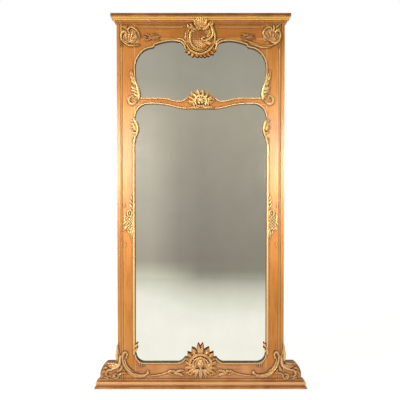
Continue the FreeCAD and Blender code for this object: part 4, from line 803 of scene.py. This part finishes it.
# Foot: a shell with a small calm mask, great scrolls, sprays and leaves on the shoulders.
baseShell = {"middle": (0, 164), "strokes": [
    shell(0, -15.5, 0.5, [8, 8, 9, 13, 12, 8, 5], [(-85.5, -84), (-100.5, -73), (-90.5, -55.5), (-106, -36),
        (-91.5, -20), (-103, -2), (-91.5, 7), (-98, 25), (-80, 31.5), (-86.5, 62), (-59.5, 55.5),
        (-57, 93.5), (-27.5, 75.5), (-15.5, 123), (-1.5, 101), (13, 123), (23.5, 76.5), (52.5, 95),
        (58.5, 56), (84.5, 64), (80, 31.5), (98, 24), (91.5, 7), (103.5, -3), (93, -20), (106, -36),
        (93, -55.5), (101, -73), (85.5, -84)]),
    scroll([(-66, -33), (-71, -7.5), (-64.5, 18.5), (-43, 42), (-17.5, 52), (15, 52), (41.5, 39.5),
        (62, 16.5), (67.5, -7.5), (63.5, -33)], [6.5, 9.5, 10, 9.5, 9, 9, 9.5, 10, 9.5, 6.5], [13, 16, 18,
        19, 19, 19, 18, 16, 13]),
    ridge([(-45.5, -21.5), (-48, 1.5), (-36.5, 20), (-14.5, 31.5), (12, 31.5), (34, 20), (46, 1.5),
        (44.5, -21.5)], [4, 5, 5, 4.5, 4.5, 5, 5, 4], [13, 16, 17, 18, 18, 17, 16, 13]),
    leaf([(-36.5, 70.5), (-40.5, 79.5), (-50.5, 86)], [7.5, 8.5, 3], [10, 10, 6], 2),
    leaf([(-1.5, 64), (-7, 86), (-13.5, 109)], [7.5, 9.5, 3], [12, 12, 7], 3),
    leaf([(2, 64), (8.5, 86), (12, 109)], [7.5, 9.5, 3], [12, 12, 7], 3),
    leaf([(34, 70.5), (39, 79.5), (48, 86)], [7.5, 8.5, 3], [10, 10, 6], 2),
    leaf([(-39, -25), (-59.5, -11), (-81.5, -2), (-100.5, 10.5)], [5.5, 9.5, 9.5, 2.5], [13, 15, 13, 8], 4),
    leaf([(39, -25), (59.5, -11), (80, -2), (99.5, 10.5)], [5.5, 9.5, 9.5, 2.5], [13, 15, 13, 8], 4),
    *both(leaf([(-39, -36), (-59.5, -37.5), (-79, -31.5), (-97, -35)], [5.5, 9, 8.5, 2.5], [12, 13, 11, 7],
        4)),
    scroll([(-22.5, 15), (-34, -2), (-35, -20), (-45.5, -37.5), (-40.5, -52)], [4, 7, 7, 6.5, 3], [15, 16,
        15, 14, 10]),
    scroll([(21, 15), (32.5, -2), (34, -20), (44.5, -37.5), (39, -52)], [4, 7, 7, 6.5, 3], [15, 16, 15, 14,
        10]),
    leaf([(0, -38.5), (0, -59), (0, -78.5), (0, -103.5)], [7.5, 14, 12.5, 3], [15, 16, 13, 8], 4),
    leaf([(-12, -42), (-23.5, -60), (-31.5, -78.5), (-32.5, -100)], [6.5, 11.5, 10, 2.5], [13, 14, 11, 7],
        4),
    leaf([(12, -42), (24, -60), (31.5, -78.5), (33, -100)], [6.5, 11.5, 10, 2.5], [13, 14, 11, 7], 4),
    leaf([(-23.5, -43), (-44, -57), (-59.5, -71.5), (-65, -90.5)], [6.5, 11, 9.5, 2.5], [12, 13, 10, 7], 4),
    leaf([(24, -43), (44.5, -57), (59.5, -71.5), (65, -90.5)], [6.5, 11, 9.5, 2.5], [12, 13, 10, 7], 4),
    scroll([(-43, -49), (-59.5, -46.5), (-73.5, -53.5), (-79, -66), (-72.5, -75), (-63.5, -70.5)], [3, 5,
        5.5, 5.5, 5, 3], [10, 12, 12, 11]),
    scroll([(43, -49), (59.5, -46.5), (74, -53.5), (79, -66), (72.5, -75), (63.5, -70.5)], [3, 5, 5.5, 5.5,
        5, 3], [10, 12, 12, 11]),
]}
ornament("base_shell_carving", baseShell, giltFoot, "base_shell")
baseMask = {"middle": (-1, 165), "strokes": [
    button(0, 0, 25, 37, 20),
    *both(button(9.5, 2, 7, 5.5, 0, sink=3.2)),
    *both(button(9.5, 1.6, 5, 2.5, 18.4)),
    *both(ridge([(3, 7.6), (9, 9.8), (16, 7)], [1.5, 2, 1.5], [19, 20, 15.5])),
    ridge([(0, 8), (0, -2), (0, -11)], [2.5, 3, 4], [20, 22.5, 25.5]),
    *both(button(3.9, -12.2, 3, 2.5, 22)),
    ridge([(-7.4, -20.6), (-3, -18.8), (0, -19.4), (3, -18.8), (7.4, -20.6)], [1, 1.5, 1.5, 1.5, 1], [16.5,
        20, 20.4, 20, 16.5]),
    ridge([(-5.6, -22.6), (0, -23.8), (5.6, -22.6)], [1, 2, 1], [16.5, 20, 16.5]),
    button(0, -31.4, 7.5, 6, 17.5),
    *both(button(14, -8, 8, 10, 16)),
    *both(scroll([(0, 31), (9, 30), (18, 22), (24, 9), (26.5, -6), (24, -19), (27, -30)], [3.5, 5, 5.5, 5,
        4.5, 4, 2], [19, 19, 18, 16, 14, 12, 8])),
    roped([(-20, 25), (-11, 34), (0, 37), (11, 34), (20, 25)], [2.5, 3.5, 4, 3.5, 2.5], [15, 18, 20, 18,
        15], 9),
    leaf([(0, 33), (0, 39), (0, 46)], [4, 5, 1.5], [20, 20, 14], 2),
]}
ornament("base_mask_carving", baseMask, giltFoot, "base_mask")
baseScroll = {"middle": (-466, 144), "strokes": [
    scroll([(-11.5, 57.5), (-5, 73), (-13, 88.5), (-25.5, 87), (-34.5, 69), (-34.5, 45.5), (-29.5, 20),
        (-17, -6), (2, -29.5), (26.5, -47.5), (55, -57), (83, -60.5), (106, -58), (123, -48.5)], [3, 5.5,
        6.5, 6.5, 6.5, 7, 8.5, 9.5, 10, 9.5, 9, 7.5, 6.5, 4.5], [12, 14, 15, 15, 16, 17, 17, 17, 16, 14,
        11]),
    ridge([(-20, 48.5), (-18, 26.5), (-5.5, -2), (16.5, -25.5), (42, -39.5)], [2, 4, 4.5, 4, 2], [12, 14,
        14, 12, 8]),
    roped([(-0.5, -38.5), (22.5, -55), (51, -65.5), (80.5, -69), (108.5, -65)], [4.5, 5.5, 6.5, 5.5, 4],
        [13, 15, 15, 14, 11], 9),
    button(-11.5, 54.5, 6.5, 6.5, 15),
    button(126, -45, 8.5, 10, 14),
    leaf([(119, -38.5), (128, -34.5), (138, -41)], [4, 5.5, 2], [10, 11, 6], 2),
    ridge([(-45.5, 65), (-52, 43), (-53.5, 22.5), (-60.5, 4.5), (-76, -8.5), (-98, -18.5), (-119.5, -25.5)],
        [4.5, 7.5, 9, 9.5, 9, 7.5, 4.5], [9, 13, 15, 16, 15, 13, 9]),
    leaf([(-65.5, 11), (-87.5, 0.5), (-112, -3.5), (-136, 3)], [5.5, 11, 11, 2.5], [12, 13, 12, 7], 4),
    leaf([(-78.5, 20), (-100, 13.5), (-124.5, 14), (-147.5, 11)], [4.5, 8.5, 7.5, 2], [9, 11, 10, 6], 4),
    scroll([(-105.5, -24), (-127.5, -26.5), (-141.5, -39.5), (-141.5, -56.5), (-129, -65.5), (-114.5, -63)],
        [6.5, 7, 7, 7, 6.5, 3], [13, 14, 13, 12, 9]),
    leaf([(-132.5, -12.5), (-150.5, -14), (-163.5, -26.5)], [5.5, 9, 2.5], [10, 10, 6], 3),
    leaf([(-145.5, -30.5), (-162, -43.5), (-170, -61.5)], [5, 9, 2.5], [9, 9, 6], 3),
    ridge([(-125, -81), (-143, -74.5), (-157, -78.5)], [4, 7, 2.5], [8, 9, 6]),
    scroll([(-73.5, -81), (-63.5, -70.5), (-60.5, -58), (-48, -48), (-26, -45), (-1.5, -47.5)], [3, 5, 5.5,
        5.5, 5, 2.5], [9, 12, 12, 11, 8]),
    leaf([(-37.5, 4.5), (-44, -16.5), (-55.5, -33), (-73.5, -42)], [4, 9, 8.5, 2.5], [10, 11, 9, 6], 4),
    scroll([(-68.5, -55), (-81, -50), (-94, -58), (-95.5, -70.5), (-85, -80), (-75, -74.5)], [4, 5, 5.5,
        5.5, 5, 2.5], [9, 12, 12, 10]),
    button(-84.5, -66, 6.5, 6.5, 12),
    leaf([(-28.5, -19), (-23.5, -33), (-9.5, -45)], [3, 6.5, 2.5], [9, 10, 6], 2),
]}
ornamentPair("base_scroll_carving", baseScroll, giltFoot, "base_scroll")
baseSpray = {"middle": (-210, 93), "strokes": [
    ridge([(-134.5, -4), (-102.5, -9.5), (-66.5, -8), (-32, -0.5), (0, 9), (26, 13.5)], [2, 3, 4, 4, 4.5,
        2.5], [5, 8, 9, 9, 9, 7]),
    leaf([(-8.5, 7.5), (13, 16.5), (38.5, 16.5), (62, 6)], [3, 8.5, 9.5, 2.5], [8, 11, 11, 7], 4),
    leaf([(3, 3.5), (23.5, -1.5), (44, -9.5)], [3, 7, 2], [8, 9, 6], 3),
    leaf([(38.5, 3.5), (58, 15), (80, 21.5), (103, 23)], [4, 9, 9, 2.5], [9, 12, 11, 7], 4),
    leaf([(42.5, -0.5), (64.5, 1), (87.5, -7), (103, -17)], [4, 9.5, 9.5, 2.5], [9, 12, 11, 7], 4),
]}
ornamentPair("base_spray_carving", baseSpray, giltFoot, "base_spray")
shoulderLeaf = {"middle": (-533, 235), "strokes": [
    ridge([(3, 54), (0.5, 32), (-2, 10), (-5, -13), (-5, -35), (-2.5, -54.5)], [2, 5, 7, 8.5, 9, 6.5], [5,
        9, 11, 13, 13, 10]),
    leaf([(8, 13), (-1, 20.5), (-3.5, 33.5), (-0.5, 45)], [3, 5.5, 5, 2], [8, 11, 10, 6], 3),
    leaf([(13, -22), (7, -9), (5.5, 4), (9.5, 15.5)], [3, 5.5, 5, 2], [8, 10, 9, 5], 3),
    leaf([(6.5, -57), (8, -41.5), (12, -27), (17, -17)], [4, 6.5, 5.5, 2], [8, 10, 9, 5], 3),
]}
ornamentPair("shoulder_leaf_carving", shoulderLeaf, giltFoot, "shoulder_leaf")
cornerFlutes = {"middle": (-389, 170), "strokes": [
    leaf([(-34.5, 94.5), (-27, 101), (-21.5, 109), (-19, 118)], [4, 7, 7, 2.5], [9, 12, 12, 8], 2),
    leaf([(-33.5, 67.5), (-27, 74), (-22, 80.5), (-18, 90.5)], [4, 6.5, 6.5, 2.5], [9, 12, 12, 8], 2),
    ridge([(-34.5, 106), (-35, 84.5), (-34.5, 61)], [2.5, 4.5, 2.5], [6, 10, 7]),
    ridge([(-8, 3), (-4, -10), (-1, -29.5)], [2.5, 4, 2], [6, 8, 5]),
    ridge([(6, -3.5), (9.5, -16.5), (12.5, -34.5)], [2.5, 4.5, 2], [6, 9, 5]),
    ridge([(21.5, -8.5), (23.5, -19), (25.5, -30.5)], [2.5, 3, 2], [6, 7, 5]),
]}
ornamentPair("corner_flute_carving", cornerFlutes, giltFoot)
crestLip = {"middle": (-131, 2209), "strokes": [
    ridge([(34, -45), (31, -25), (21.5, -7.5), (6.5, 3.5), (-15, 9), (-38, 10)], [3, 5, 5.5, 5, 4, 2], [12,
        14, 13, 11, 8]),
    ridge([(38, -16), (31.5, 0), (19, 14), (2.5, 21.5), (-12.5, 23)], [2.5, 5, 5.5, 4.5, 2], [13, 14, 13,
        10, 7]),
]}
ornamentPair("crest_lip_carving", crestLip, giltLip)
print("carving")

# Slotted screws hold the backboards; their heads are too small for the construction.
screws = {
    "radius": 4.5 * mm,
    "high": 2.2 * mm,
    "round": 0.9 * mm,
    "slotWide": 1.2 * mm,
    "slotDeep": 1.1 * mm,
    "inset": 10 * mm,
    "apart": 190 * mm,
    "turn": 2.4,  # from one slot to the next, as the driver left them
}


# one head that faces up, its foot at the origin
def screwHead():
    deselect()
    bpy.ops.mesh.primitive_cylinder_add(vertices=24, radius=screws["radius"], depth=screws["high"] * 2)
    head = bpy.context.object
    bevel = head.modifiers.new("round", "BEVEL")
    bevel.width = screws["round"]
    bevel.segments = 3
    bpy.ops.object.modifier_apply(modifier="round")
    bpy.ops.mesh.primitive_cube_add(size=1, location=(0, 0, screws["high"]))
    slot = bpy.context.object
    slot.scale = (screws["radius"] * 3, screws["slotWide"], screws["slotDeep"] * 2)
    cut = head.modifiers.new("slot", "BOOLEAN")
    cut.operation = "DIFFERENCE"
    cut.object = slot
    bpy.context.view_layer.objects.active = head
    bpy.ops.object.modifier_apply(modifier="slot")
    bpy.data.objects.remove(slot)
    return head


# points round the back of a board, inset from its edge and evenly apart
def edgePlaces(name):
    low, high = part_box(name)
    inset = screws["inset"]
    left, right, foot, head = low.x + inset, high.x - inset, low.z + inset, high.z - inset
    across = max(2, round((right - left) / screws["apart"]))
    up = max(2, round((head - foot) / screws["apart"]))
    places = [(left + (right - left) * i / across, z) for i in range(across + 1) for z in (foot, head)]
    places += [(x, foot + (head - foot) * i / up) for i in range(1, up) for x in (left, right)]
    return [(x, high.y, z) for x, z in places]


def makeScrews(name, places):
    head = screwHead()
    heads = []
    for number, place in enumerate(places):
        copy = ownCopy(head)
        turn = Matrix.Rotation(number * screws["turn"], 4, "Z")
        copy.data.transform(Matrix.Translation(place) @ Matrix.Rotation(math.radians(-90), 4, "X") @ turn)
        heads.append(copy)
    bpy.data.objects.remove(head)
    deselect()
    for copy in heads:
        copy.select_set(True)
    bpy.context.view_layer.objects.active = heads[0]
    bpy.ops.object.join()
    piece = bpy.context.object
    piece.name = name
    bpy.ops.object.shade_smooth_by_angle(angle=math.radians(30))
    piece.data.materials.clear()
    piece.data.materials.append(zinc)
    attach(piece, "root")


makeScrews("backboard_screws", edgePlaces("upper_backboard") + edgePlaces("lower_backboard"))
print("screws")

# Stage: a pale floor that runs behind the camera to a grey wall, which shows only in the plates.
stage = {
    "cameraAway": 5.0,
    "cameraHigh": 1.384,
    "pitch": 2.0,
    "pixel": 6.375 * mm,  # of the photograph, at the face of the boards
    "imageWide": 400,
    "objectColumn": 200.7,  # pixel column of the middle of the frame
    "wallAway": 5.2,
    "wallHigh": 6.0,
    "floorHalf": 9.0,
    "floorGlow": 0.75,  # lifts the floor to white for the camera, with the shadow left in it
    "glassGlow": 1.1,  # what the plates reflect
    "wallGlow": 1.826,
    "worldGlow": 0.32,
}


def stagePlane(name, across, foot, head, material):
    deselect()
    bpy.ops.mesh.primitive_plane_add(size=1)
    plane = bpy.context.object
    plane.name = name
    corners = [(x, *end) for end in (foot, head) for x in (-across, across)]
    for vertex, corner in zip(plane.data.vertices, corners):
        vertex.co = corner
    plane.data.materials.append(material)


# in the plates the floor glows as painted light, bright near the mirror and falling off into the room and to
# the right
def floorMaterial():
    material, add = newMaterial("pale floor")
    paint = add("BsdfDiffuse", {"Color": "F4F3EE"})
    glow = add("Emission", {"Color": "FFFFFF", "Strength": stage["floorGlow"]})
    place = add("SeparateXYZ", {0: add("TexCoord").outputs["Object"]}).outputs
    away = add("MapRange", {0: place["Y"], 1: frontY - stage["wallAway"], 2: frontY - 1.7})
    left = add("MapRange", {0: place["X"], 1: 0, 2: -0.65, 3: 0, 4: 0.33})
    colour = add("ValToRGB", {0: add("Math", {0: away, 1: left}, operation="ADD")}, [
        (0, "A4A499"), (0.143, "BEBEB2"), (0.326, "D4D4C8"), (0.49, "E3E4D8"), (0.76, "F8F9F0"),
        (1, "FFFFF8")])
    inGlass = add("Emission", {"Color": colour, "Strength": stage["glassGlow"]})
    rays = add("LightPath").outputs
    unseen = add("MixShader", {0: rays["Is Glossy Ray"], 1: paint, 2: inGlass})
    seen = add("AddShader", {0: paint, 1: glow})
    add("OutputMaterial", {"Surface": add("MixShader", {0: rays["Is Camera Ray"], 1: unseen, 2: seen})})
    return material


# painted light: in the plates the backdrop glows lighter at the left, most of all low down; to the camera it
# is white
def wallMaterial():
    material, add = newMaterial("grey backdrop")
    place = add("SeparateXYZ", {0: add("TexCoord").outputs["Object"]}).outputs
    colour = add("ValToRGB", {0: add("MapRange", {0: place["Z"], 1: 0, 2: 3.2})}, [
        (0, "A5A598"), (0.03, "918D83"), (0.08, "8E8A80"), (0.31, "9C988E"), (0.66, "AEA99C"),
        (0.94, "A4A298")])
    side = add("ValToRGB", {0: add("MapRange", {0: place["X"], 1: -1, 2: 1})}, [
        (0, "FFFFFF"), (0.17, "FFFFFF"), (0.36, "D6D6D6"), (0.5, "CACACA"), (0.82, "D2D2D0")])
    lowDown = add("MapRange", {0: place["Z"], 1: 2.6, 2: 1.6, 3: 0.25, 4: 1})
    side = add("Mix", {0: lowDown, 6: "CACACA", 7: side}, data_type="RGBA").outputs[2]
    colour = add("Mix", {0: 1, 6: colour, 7: side}, data_type="RGBA", blend_type="MULTIPLY").outputs[2]
    nearFloor = add("MapRange", {0: place["Z"], 1: 0.22, 2: 0})
    left = add("MapRange", {0: place["X"], 1: 0, 2: -0.65})
    corner = add("Math", {0: nearFloor, 1: left}, operation="MULTIPLY")
    colour = add("Mix", {0: corner, 6: colour, 7: "ADADA0"}, data_type="RGBA").outputs[2]
    inGlass = add("Emission", {"Color": colour, "Strength": stage["wallGlow"]})
    white = add("Emission", {"Color": "FFFFFF", "Strength": 1})
    toCamera = add("LightPath").outputs["Is Camera Ray"]
    add("OutputMaterial", {"Surface": add("MixShader", {0: toCamera, 1: inGlass, 2: white})})
    return material


def makeStage():
    wallY = frontY - stage["wallAway"]
    half = stage["floorHalf"]
    stagePlane("floor", half, (wallY, 0), (half, 0), floorMaterial())
    stagePlane("backdrop", half, (wallY, 0), (wallY, stage["wallHigh"]), wallMaterial())
    world = bpy.data.worlds.new("studio")
    bpy.context.scene.world = world
    world.use_nodes = True
    world.node_tree.nodes.clear()
    add = partial(addNode, world.node_tree)
    soft = add("Background", {"Color": "F2F1EE", "Strength": stage["worldGlow"]})
    white = add("Background", {"Color": "FFFFFF", "Strength": 1})
    toCamera = add("LightPath").outputs["Is Camera Ray"]
    add("OutputWorld", {"Surface": add("MixShader", {0: toCamera, 1: soft, 2: white})})


# soft boxes: where they stand, what they face, their size, power in watts and spread in degrees
lamps = {
    "left box": ((-1.12, frontY - 4.9, 1.57), (-0.5, 0, 1.15), (0.4, 0.8), 2.4, 36),
    "right box": ((1.12, frontY - 4.9, 1.57), (0.5, 0, 1.15), (0.4, 0.8), 2.4, 36),
    "key box": ((-4.0, frontY - 4.1, 4.0), (0, 0, 0.9), (1.0, 1.0), 190, 180),
}


def makeLights():
    for name, (place, target, size, power, spread) in lamps.items():
        light = bpy.data.lights.new(name, "AREA")
        light.shape = "RECTANGLE"
        light.size, light.size_y = size
        light.energy = power
        light.spread = math.radians(spread)
        lamp = bpy.data.objects.new(name, light)
        bpy.context.scene.collection.objects.link(lamp)
        lamp.location = place
        lamp.rotation_euler = (Vector(target) - Vector(place)).to_track_quat("-Z", "Y").to_euler()


def makeCamera():
    camera = bpy.data.cameras.new("camera")
    lens = bpy.data.objects.new("camera", camera)
    bpy.context.scene.collection.objects.link(lens)
    away, pixel, wide = stage["cameraAway"], stage["pixel"], stage["imageWide"]
    camera.lens = camera.sensor_width * away / (wide * pixel)
    lens.location = ((wide / 2 - stage["objectColumn"]) * pixel, frontY - away, stage["cameraHigh"])
    lens.rotation_euler = (math.radians(90 - stage["pitch"]), 0, 0)
    bpy.context.scene.camera = lens


makeStage()
makeLights()
makeCamera()
bpy.context.scene.view_settings.view_transform = "Standard"
print("stage, lamps and camera")
